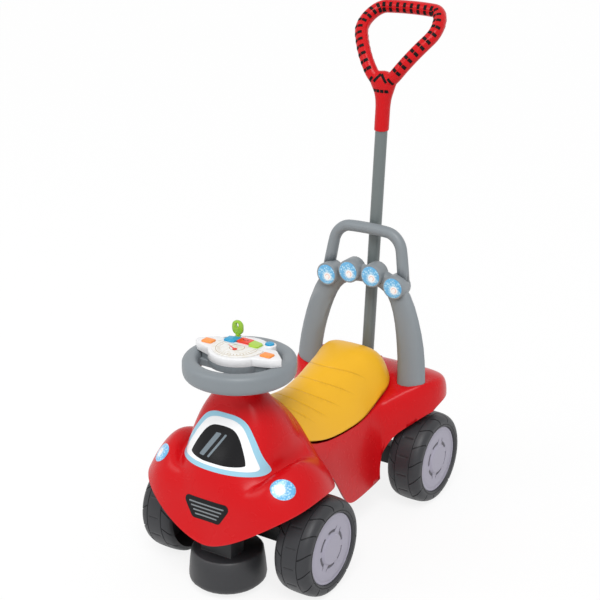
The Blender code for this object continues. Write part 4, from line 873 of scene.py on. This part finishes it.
class RIDEON_OT_roll_bar(bpy.types.Operator):
    """Build the finished roll bar, its top bar and the roof lamps"""
    bl_idname = "ride_on.roll_bar"
    bl_label = "Roll Bar and Lamps"

    def execute(self, context):
        dress("roll_bar", bevel=0.0006, smooth=42.0)
        dress("roll_bar_top", levels=1, smooth=50.0)
        for node in LAMPS:
            low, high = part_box(node)
            centre = Vector(((low.x + high.x) / 2.0, low.y, (low.z + high.z) / 2.0))
            barrel = LENS_RADIUS * 0.88
            profile = [(LENS_RADIUS * share, LENS_BULGE * (1.0 - share ** 2.4))
                       for share in (0.05, 0.2, 0.35, 0.5, 0.65, 0.78, 0.88, 0.96)]
            profile += [(LENS_RADIUS, -0.0003), (LENS_RADIUS, -0.0012), (barrel, -0.0012),
                        (barrel, low.y - high.y)]
            add_piece(f"{node}_lens", turned(profile, 56), finish("lens_blue"), node, smooth=50.0,
                      place=Matrix.Translation(centre) @ Matrix.Rotation(math.radians(90.0), 4, "X"))
        return {"FINISHED"}


class RIDEON_OT_wheels(bpy.types.Operator):
    """Build the tyres with their tread, the hub caps and the axle caps"""
    bl_idname = "ride_on.wheels"
    bl_label = "Wheels"

    def execute(self, context):
        for wheel in WHEELS:
            low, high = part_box(f"tyre_{wheel}")
            side = math.copysign(1.0, low.x)
            facing_out = Matrix.Rotation(math.radians(90.0 * side), 4, "Y")
            place = Matrix.Translation((low + high) / 2.0) @ facing_out
            cap = self.hub_cap(side * CAP_TURN[wheel.split("_")[0]])
            for node, mesh, kind in ((f"tyre_{wheel}", self.tyre(), "tyre"),
                                     (f"hub_cap_{wheel}", cap, "lilac_plastic")):
                add_piece(f"{node}_finished", mesh, finish(kind), node, smooth=50.0, place=place)
            dress(f"axle_nut_{wheel}", bevel=0.0003)
        return {"FINISHED"}

    def tread_profile(self, ring):
        """Runs of (radius, height) points round a tyre's section, from the outer bead over the tread to
        the inner side, each with the kind of groove that crosses it."""
        return (
            (PLAIN, ((0.0605, 0.0287), (0.0612, 0.0306), (0.0630, 0.0317), (0.0641, 0.03175))),
            (RING, ((0.0645, 0.0310), (0.0652, 0.0310))),
            (PLAIN, ((0.0657, 0.03175), (0.0672, 0.03175))),
            (CROSS, ((0.0686, 0.0317), (0.0710, 0.0315), (0.0735, 0.0308), (0.0760, 0.0293),
                     (0.0780, 0.0273), (0.0797, 0.0248), (0.0810, 0.0216), (0.0819, 0.0182),
                     (0.0824, 0.0154))),
            (PLAIN, ((0.0825, 0.0149),)),
            (RING, ((0.0825 - ring, 0.0145), (0.0826 - ring, 0.0137))),
            (PLAIN, ((0.0826, 0.0133), (0.0828, 0.0098))),
            (SHORT, ((0.0828, 0.0090), (0.0830, 0.0045), (0.0830, -0.0045), (0.0828, -0.0090))),
            (PLAIN, ((0.0828, -0.0098), (0.0826, -0.0133))),
            (RING, ((0.0826 - ring, -0.0137), (0.0825 - ring, -0.0145))),
            (PLAIN, ((0.0825, -0.0149),)),
            (CROSS, ((0.0824, -0.0154), (0.0819, -0.0200), (0.0808, -0.0250), (0.0788, -0.0288))),
            (PLAIN, ((0.0760, -0.0310), (0.0725, -0.03175), (0.0712, -0.0300), (0.0705, 0.0168),
                     (0.0180, 0.0168), (0.0120, 0.0140), (0.0120, -0.03175), (0.0043, -0.03175),
                     (0.0043, 0.0212), (0.0560, 0.0212), (0.0560, 0.0254), (0.0605, 0.0254))),
        )

    def tyre(self):
        """A tyre about Z with its outer side up. Its columns of points follow the bend of the grooves."""
        size = settings("tyres")
        pitch = 2.0 * math.pi / size.blocks
        half = size.groove_width / 2.0 / TYRE_RADIUS
        columns = [(-1.7 * half, {}), (-half, {CROSS: 1.0}), (half, {CROSS: 1.0}), (1.7 * half, {})]
        columns += [(pitch * share, {}) for share in (0.14, 0.26, 0.38)]
        columns += [(pitch / 2.0 + share * half, {SHORT: depth})
                    for share, depth in ((-1.5, 0.0), (-0.7, 0.6), (0.7, 0.6), (1.5, 0.0))]
        columns += [(pitch * share, {}) for share in (0.62, 0.74, 0.86)]
        runs = self.tread_profile(size.ring_depth)
        profile = [(kind, *point) for kind, points in runs for point in points]
        rows, marks = [], []
        for i, (kind, radius, height) in enumerate(profile):
            before, after = profile[i - 1], profile[(i + 1) % len(profile)]
            outward = Vector((before[2] - after[2], after[1] - before[1])).normalized()
            bend = size.bend * (max(abs(height), BEND_FROM) / BEND_FULL) ** 2
            bend = bend if radius > BEAD_RADIUS else 0.0
            row = []
            for block in range(size.blocks):
                for angle, depths in columns:
                    share = depths.get(kind, 0.0)
                    sunk = size.groove_depth * share
                    r, h = radius - outward.x * sunk, height - outward.y * sunk
                    turn = pitch * block + angle - bend
                    row.append((r * math.cos(turn), r * math.sin(turn), h))
                    marks.append(1.0 if kind == RING else share)
            rows.append(row)
        return skin(rows, closed=True, marks=marks)

    def hub_cap(self, turned_by):
        """A hub cap about Z, face up, with curved slots. The ends beside two opposite gaps hook outwards."""
        size = settings("tyres")
        rim = ((0.0585, 0.0258), (0.0598, 0.0262), (0.0601, 0.0270), (0.0600, 0.0283), (0.0592, 0.02875),
               (0.0565, 0.02875), (0.0560, 0.0284), (0.0553, 0.0284), (0.0548, 0.0287), (0.0480, 0.0284),
               (0.0420, 0.0282))
        slotted = [(0.0400 - 0.0006 * i, 0.0281) for i in range(21)]
        boss = ((0.0275, 0.0282), (0.0266, 0.0286), (0.0258, 0.0302), (0.0246, 0.0309), (0.0225, 0.0310),
                (0.0100, 0.0311), (0.0010, 0.03112))
        rows, marks = [], []
        for radius, height in (*rim, *slotted, *boss):
            row = []
            for a in circle(288):
                turn = abs(((a + turned_by) * size.slots / (2.0 * math.pi)) % 1.0 - 0.5)
                hooked = size.slot_hook if abs(math.cos(a + turned_by)) > 0.8 else 0.0
                off = abs(radius - size.slot_radius - hooked * soft_step(turn, 0.24, 0.34))
                depth = 1.0 - soft_step(off, size.slot_width * 0.35, size.slot_width * 0.65)
                depth *= 1.0 - soft_step(turn, 0.33, 0.36)
                if (radius, height) not in slotted:
                    depth = 0.0
                row.append((radius * math.cos(a), radius * math.sin(a), height - depth * size.slot_depth))
                marks.append(depth)
            rows.append(row)
        return skin(rows, marks=marks)


class RIDEON_OT_steering(bpy.types.Operator):
    """Build the steering wheel, its column and bushes"""
    bl_idname = "ride_on.steering"
    bl_label = "Steering Wheel"

    def execute(self, context):
        axis = (0.0, COLUMN_Y)
        section = []
        for a in circle(28):
            wide = math.copysign(abs(math.cos(a)) ** 0.7, math.cos(a))
            high = math.copysign(abs(math.sin(a)) ** 0.7, math.sin(a))
            slack = 0.0006 if high <= 0.45 and wide > 0.5 else 0.0
            across = (RIM_HALF_WIDTH - slack) * wide
            section.append((RIM_RADIUS + across, RIM_LEVEL + RIM_HALF_HEIGHT * high))
        rim = turned(section, 120, axis, closed=True)
        outline = rounded(oblong(RIM_RADIUS, SPOKE_HALF_WIDTH), 0.004, 4)
        rows = []
        for drop, inset in ((0.0120, 0.0008), (0.0112, 0.0), (0.0008, 0.0), (0.0, 0.0008)):
            across, along = 1.0 - inset / RIM_RADIUS, 1.0 - inset / SPOKE_HALF_WIDTH
            rows.append([(x * across, COLUMN_Y + y * along, SPOKE_TOP - drop) for x, y in outline])
        hub = turned([(radius, SPOKE_TOP - drop) for radius, drop in
                      ((0.0245, 0.0255), (0.0260, 0.0245), (0.0260, 0.0008), (0.0252, 0.0))], 64, axis)
        whole = joined((rim, skin(rows), hub))
        add_piece("steering_wheel_finished", whole, finish("grey_plastic"), "steering_wheel")
        for node in ("steering_column", "steering_yoke", "front_axle", "upper_bush", "lower_bush"):
            dress(node, bevel=0.0004)
        return {"FINISHED"}


class RIDEON_OT_console(bpy.types.Operator):
    """Build the play console with its dial, keys and ignition key"""
    bl_idname = "ride_on.console"
    bl_label = "Play Console"

    def execute(self, context):
        dress("console_base", bevel=0.0005)
        dress("console_cover", bevel=0.0006, smooth=30.0)
        self.build_dial()
        for node in ("button_left", "button_right", "button_round"):
            dress(node, bevel=0.0006, smooth=30.0)
        for node, corners in KEY_TOPS.items():
            self.row_key(node, corners)
        dress("ignition_key", bevel=0.0004, smooth=40.0)
        low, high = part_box("button_red")
        middle = (low + high) / 2.0
        bead = [(radius, high.z + rise) for radius, rise in
                ((0.0015, 0.00005), (0.0015, 0.00025), (0.0012, 0.0003))]
        for i, (x, y) in enumerate(((-0.0042, 0.0010), (0.0, -0.0012), (0.0042, 0.0010))):
            dot = turned(bead, 20, (middle.x + x, middle.y + y))
            add_piece(f"red_key_dot_{i + 1}", dot, finish("white_plastic"), body="button_red_cap")
        for node in ("circuit_board", "speaker", "battery_1", "battery_2"):
            frame["nodes"][node].data.materials[0] = finish(slot_of(node))
        return {"FINISHED"}

    def build_dial(self):
        low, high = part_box("dial")
        ends = [math.radians(-186.0 + 4.0 * i) for i in range(49)]
        rows = []
        for z, share in ((low.z - high.z, 1.0), (-0.0005, 1.0), (-0.0001, 0.992), (0.0, 0.980)):
            rows.append([(DIAL_RADIUS * math.cos(a) * share,
                          (DIAL_RADIUS * math.sin(a) + DIAL_FORWARD) * share - DIAL_FORWARD, z)
                         for a in ends])
        add_piece("dial_face", skin(rows), finish("cream_print"), "dial",
                  place=Matrix.Translation((0.0, COLUMN_Y, high.z)))
        pivot = (0.001, COLUMN_Y - 0.0135)
        needle = flat_patch(((-0.0016, -0.0010), (-0.0006, -0.0030), (0.0006, -0.0030), (0.0016, -0.0010),
                             (0.0003, 0.0230), (-0.0003, 0.0230)), 0.01)
        place = Matrix.Translation((*pivot, high.z + 0.0004)) @ Matrix.Rotation(math.radians(62.0), 4, "Z")
        bmesh.ops.transform(needle, matrix=place, verts=needle.verts)
        pin = turned([(radius, high.z + rise) for radius, rise in
                      ((0.0040, 0.0001), (0.0040, 0.0006), (0.0034, 0.0010), (0.0010, 0.0011))], 24, pivot)
        add_piece("dial_needle", joined((needle, pin)), finish("needle"), body="steering")

    def row_key(self, node, corners):
        """A key of the row behind the dial: the packed key under a slightly wider top."""
        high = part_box(node)[1].z
        outline = [Vector(point) for point in rounded(corners, 0.0012, 3)]
        middle = sum(outline, Vector((0.0, 0.0))) / len(outline)
        rows = []
        for rise, inset in ((-0.0003, 0.0), (0.0, 0.0), (0.0002, 0.0003), (0.0003, 0.0008)):
            inner = [point - (point - middle).normalized() * inset for point in outline]
            rows.append([(point.x, COLUMN_Y + point.y, high + rise) for point in inner])
        add_piece(f"{node}_top", joined((welded(node), skin(rows))), finish(slot_of(node)), node)


def loop_path(spacing):
    """The middle line of the push handle's loop."""
    corners = ((0.0, 0.0), (LOOP_HALF_WIDTH, LOOP_HEIGHT), (-LOOP_HALF_WIDTH, LOOP_HEIGHT))
    outline = rounded(corners, LOOP_ROUNDING, 10)
    flat = []
    for i, point in enumerate(outline):
        after = outline[(i + 1) % len(outline)]
        parts = max(1, round(math.dist(point, after) / spacing))
        flat += [Vector(point).lerp(Vector(after), k / parts) for k in range(parts)]
    path = []
    for x, up in flat:
        up += LOOP_BOW * (1.0 - (x / LOOP_HALF_WIDTH) ** 2) * (up / LOOP_HEIGHT) ** 4
        path.append(LOOP_FOOT + Vector((x, sweep(up), up * math.cos(LOOP_LEAN))))
    return path


def sweep(up):
    """How far the loop has swept back at a height over its foot."""
    return up * math.sin(LOOP_LEAN) + LOOP_SWEEP_BACK * up * up


def sides_of(path, i):
    """Forward, front and outward directions at a point of a closed path."""
    forward = (path[(i + 1) % len(path)] - path[i - 1]).normalized()
    front = (AHEAD - forward * AHEAD.dot(forward)).normalized()
    return forward, front, forward.cross(front)


class RIDEON_OT_push_handle(bpy.types.Operator):
    """Build the push handle with its dashes, and the pole"""
    bl_idname = "ride_on.push_handle"
    bl_label = "Push Handle"

    def execute(self, context):
        path = loop_path(0.004)
        rows = []
        for i, point in enumerate(path):
            _, front, out = sides_of(path, i)
            rows.append([point + out * (LOOP_RADIUS * math.cos(a)) + front * (LOOP_RADIUS * math.sin(a))
                         for a in circle(24)])
        whole = joined((skin(rows, closed=True), self.neck()))
        handle = add_piece("push_handle_finished", whole, finish("red_shell"), "push_handle", smooth=60.0)
        remesh = handle.modifiers.new("One Skin", "REMESH")
        remesh.mode = "VOXEL"
        remesh.voxel_size = 0.0013
        remesh.use_smooth_shade = True
        relax = handle.modifiers.new("Soft Joins", "SMOOTH")
        relax.factor = 0.5
        relax.iterations = 22
        tree = evaluated_tree(handle)
        dashes = joined((*self.loop_dashes(tree, path), *self.neck_dashes(tree)))
        add_piece("grip_dashes", dashes, finish("dash_black"), body="handle",
                  smooth=80.0)
        dress("push_pole", smooth=40.0)
        dress("pole_socket", bevel=0.0006)
        return {"FINISHED"}

    def neck(self):
        """The grip under the loop, and the web that fills the loop's foot."""
        rows = []
        for h, wide, deep in ((-GRIP_LENGTH, GRIP_RADIUS, GRIP_RADIUS), (-0.026, GRIP_RADIUS, GRIP_RADIUS),
                              (-0.014, 0.0143, 0.0134), (-0.006, 0.0162, 0.0135), (0.001, 0.0188, 0.0134),
                              (0.008, 0.0220, 0.0131), (0.015, 0.0250, 0.0127), (0.022, 0.0268, 0.0117),
                              (0.028, 0.0250, 0.0106), (0.032, 0.0212, 0.0091), (0.035, 0.0155, 0.0073),
                              (0.0368, 0.0092, 0.0052), (0.0375, 0.0040, 0.0030)):
            shift = POLE_LEAN * h if h < 0.0 else sweep(h)
            rows.append([LOOP_FOOT + Vector((wide * math.cos(a), shift + deep * math.sin(a), h))
                         for a in circle(48)])
        return skin(rows)

    def dash(self, tree, centre, direction, half_along, half_across, across):
        """A list of one dash thrown on to the grip along a direction, or of none where it misses."""
        mesh = flat_patch(rounded(oblong(half_across, half_along), 0.0006, 2), 0.0012)
        side = across.normalized()
        ahead = side.cross(direction).normalized()
        for vert in mesh.verts:
            start = centre + side * vert.co.x + ahead * vert.co.y - direction * 0.03
            spot = tree.ray_cast(start, direction)[0]
            if spot is None or (spot - centre).length > DASH_REACH:
                mesh.free()
                return []
            vert.co = spot - direction * DASH_LIFT
        return [facing(mesh, direction)]

    def loop_dashes(self, tree, path):
        """Rungs of dashes round the loop, a pair in front and a pair behind."""
        size = settings("grip")
        reach = [0.0]
        for i in range(1, len(path) + 1):
            reach.append(reach[-1] + (path[i % len(path)] - path[i - 1]).length)
        dashes = []
        for rung in range(size.rungs):
            target = reach[-1] * (rung + 0.5) / size.rungs
            i = max(k for k in range(len(path)) if reach[k] <= target)
            share = (target - reach[i]) / (reach[i + 1] - reach[i])
            point = path[i].lerp(path[(i + 1) % len(path)], share)
            if (point - LOOP_FOOT).length < WEB_REACH:
                continue
            forward, front, out = sides_of(path, i)
            for face in (1.0, -1.0):
                for lean in (0.43, -0.43):
                    view = (front * face * math.cos(lean) + out * math.sin(lean)).normalized()
                    across = forward.cross(view)
                    dashes += self.dash(tree, point, -view, size.dash_width / 2.0, 0.0044, across)
        return dashes

    def neck_dashes(self, tree):
        """Slanted dashes on the web, over a row of short ones, in front and behind."""
        rise = Vector((0.0, POLE_LEAN, 1.0)).normalized()
        dashes = []
        for face in (1.0, -1.0):
            view = AHEAD * face
            view = (view - rise * view.dot(rise)).normalized()
            side = rise.cross(view)
            for x, z, half in ((0.0066, 0.0255, 0.0092), (0.0195, 0.0215, 0.0065)):
                for sign in (-1.0, 1.0):
                    slant = math.radians(-40.0 * sign)
                    across = side * math.cos(slant) - rise * math.sin(slant)
                    spot = LOOP_FOOT + Vector((x * sign, 0.0, z))
                    dashes += self.dash(tree, spot, -view, half, 0.0024, across)
            for x in (-0.0118, -0.0040, 0.0040, 0.0118):
                spot = LOOP_FOOT + Vector((x, 0.0, 0.0030))
                dashes += self.dash(tree, spot, -view, 0.0027, 0.0032, side)
        return dashes


class RIDEON_OT_chassis(bpy.types.Operator):
    """Finish the frame, the carrier and the stop block"""
    bl_idname = "ride_on.chassis"
    bl_label = "Chassis"

    def execute(self, context):
        dress("stop_block", bevel=0.0040, smooth=60.0)
        for node in ("front_frame", "rear_axle_carrier"):
            dress(node, bevel=0.0008)
        dress("rear_axle", bevel=0.0004)
        return {"FINISHED"}


class RIDEON_OT_stage(bpy.types.Operator):
    """Set up the floor, the light and the camera"""
    bl_idname = "ride_on.stage"
    bl_label = "Floor, Light and Camera"

    def execute(self, context):
        mesh = bmesh.new()
        bmesh.ops.create_grid(mesh, x_segments=8, y_segments=8, size=14.0)
        data = bpy.data.meshes.new("floor")
        mesh.to_mesh(data)
        mesh.free()
        data.materials.append(self.floor_finish())
        self.add(context, "floor", data)
        self.light_room(context)
        self.set_camera(context)
        context.scene.view_settings.view_transform = "Standard"
        return {"FINISHED"}

    def add(self, context, name, data):
        obj = bpy.data.objects.new(name, data)
        context.scene.collection.objects.link(obj)
        return obj

    def seen(self, tree):
        """1 for the rays that show a surface to the camera, straight or by way of gloss and glass."""
        path = {socket.name: Value(socket) for socket in wire(tree, "ShaderNodeLightPath").outputs}
        return calc("MAXIMUM", calc("MAXIMUM", path["Is Camera Ray"], path["Is Glossy Ray"]),
                    path["Is Transmission Ray"])

    def light_room(self, context):
        """A white room that lights with about half its strength, a soft sun and one soft lamp."""
        world = bpy.data.worlds.new("Soft room")
        context.scene.world = world
        world.use_nodes = True
        tree = world.node_tree
        strength = self.seen(tree) * (1.0 - ROOM_LIGHT) + ROOM_LIGHT
        feed(tree.nodes["Background"], {"Color": (1.0, 1.0, 1.0, 1.0), "Strength": strength})
        sun = self.add(context, "Key", bpy.data.lights.new("Key", "SUN"))
        sun.data.energy = 1.80
        sun.data.angle = math.radians(32.0)
        sun.rotation_euler = Vector((0.55, -0.75, 1.25)).to_track_quat("Z", "Y").to_euler()
        soft = self.add(context, "Soft", bpy.data.lights.new("Soft", "AREA"))
        soft.data.energy = 14.0
        soft.data.size = 1.3
        soft.location = (-1.5, -1.9, 2.2)
        soft.rotation_euler = (soft.location - Vector((0.0, 0.0, 0.25))).to_track_quat("Z", "Y").to_euler()

    def set_camera(self, context):
        camera = self.add(context, "Camera", bpy.data.cameras.new("Camera"))
        camera.data.lens = CAMERA_LENS
        camera.data.sensor_width = 36.0
        azimuth, elevation, roll = (math.radians(angle) for angle in CAMERA_ANGLES)
        level = math.cos(elevation)
        back = Vector((math.sin(azimuth) * level, -math.cos(azimuth) * level, math.sin(elevation)))
        right = UP.cross(back).normalized()
        turn = Matrix.Rotation(roll, 3, back) @ Matrix((right, back.cross(right), back)).transposed()
        camera.matrix_world = Matrix.Translation(CAMERA_PLACE) @ turn.to_4x4()
        context.scene.camera = camera

    def floor_finish(self):
        """A pale floor that shows as the white of the room, and keeps the car's shadow."""
        mat = bpy.data.materials.new("Pale floor")
        mat.use_nodes = True
        tree = mat.node_tree
        tree.nodes.clear()
        matt = output(tree, "ShaderNodeBsdfDiffuse", {"Color": (0.95, 0.95, 0.95, 1.0)})
        white = output(tree, "ShaderNodeEmission", {"Color": (1.0, 1.0, 1.0, 1.0), "Strength": 1.0})
        both = output(tree, "ShaderNodeMixShader", {0: self.seen(tree) * FLOOR_GLOW, 1: matt, 2: white})
        wire(tree, "ShaderNodeOutputMaterial", {"Surface": both})
        in_columns(tree)
        return mat


OPERATORS = (RIDEON_OT_shells, RIDEON_OT_prints, RIDEON_OT_seat, RIDEON_OT_roll_bar, RIDEON_OT_wheels,
             RIDEON_OT_steering, RIDEON_OT_console, RIDEON_OT_push_handle, RIDEON_OT_chassis,
             RIDEON_OT_stage)


class RIDEON_PT_panel(bpy.types.Panel):
    """Sizes, colours and pieces of the ride-on car"""
    bl_label = "Ride-on Car"
    bl_idname = "RIDEON_PT_panel"
    bl_space_type = "VIEW_3D"
    bl_region_type = "UI"
    bl_category = "Ride-on Car"

    def draw(self, context):
        for name, group in SETTINGS.items():
            box = self.layout.box()
            box.label(text=group.__doc__)
            for key in group.__annotations__:
                box.prop(getattr(context.scene, name), key)
        for operator in OPERATORS:
            self.layout.operator(operator.bl_idname)


def register():
    for cls in (*SETTINGS.values(), *OPERATORS, RIDEON_PT_panel):
        bpy.utils.register_class(cls)
    for name, group in SETTINGS.items():
        setattr(bpy.types.Scene, name, PointerProperty(type=group))


def unregister():
    for name in SETTINGS:
        delattr(bpy.types.Scene, name)
    for cls in reversed((*SETTINGS.values(), *OPERATORS, RIDEON_PT_panel)):
        bpy.utils.unregister_class(cls)


def main():
    register()
    bpy.ops.ride_on.shells()
    bpy.ops.ride_on.prints()
    bpy.ops.ride_on.seat()
    bpy.ops.ride_on.roll_bar()
    bpy.ops.ride_on.wheels()
    bpy.ops.ride_on.steering()
    bpy.ops.ride_on.console()
    bpy.ops.ride_on.push_handle()
    bpy.ops.ride_on.chassis()
    bpy.ops.ride_on.stage()


if __name__ == "__main__":
    main()
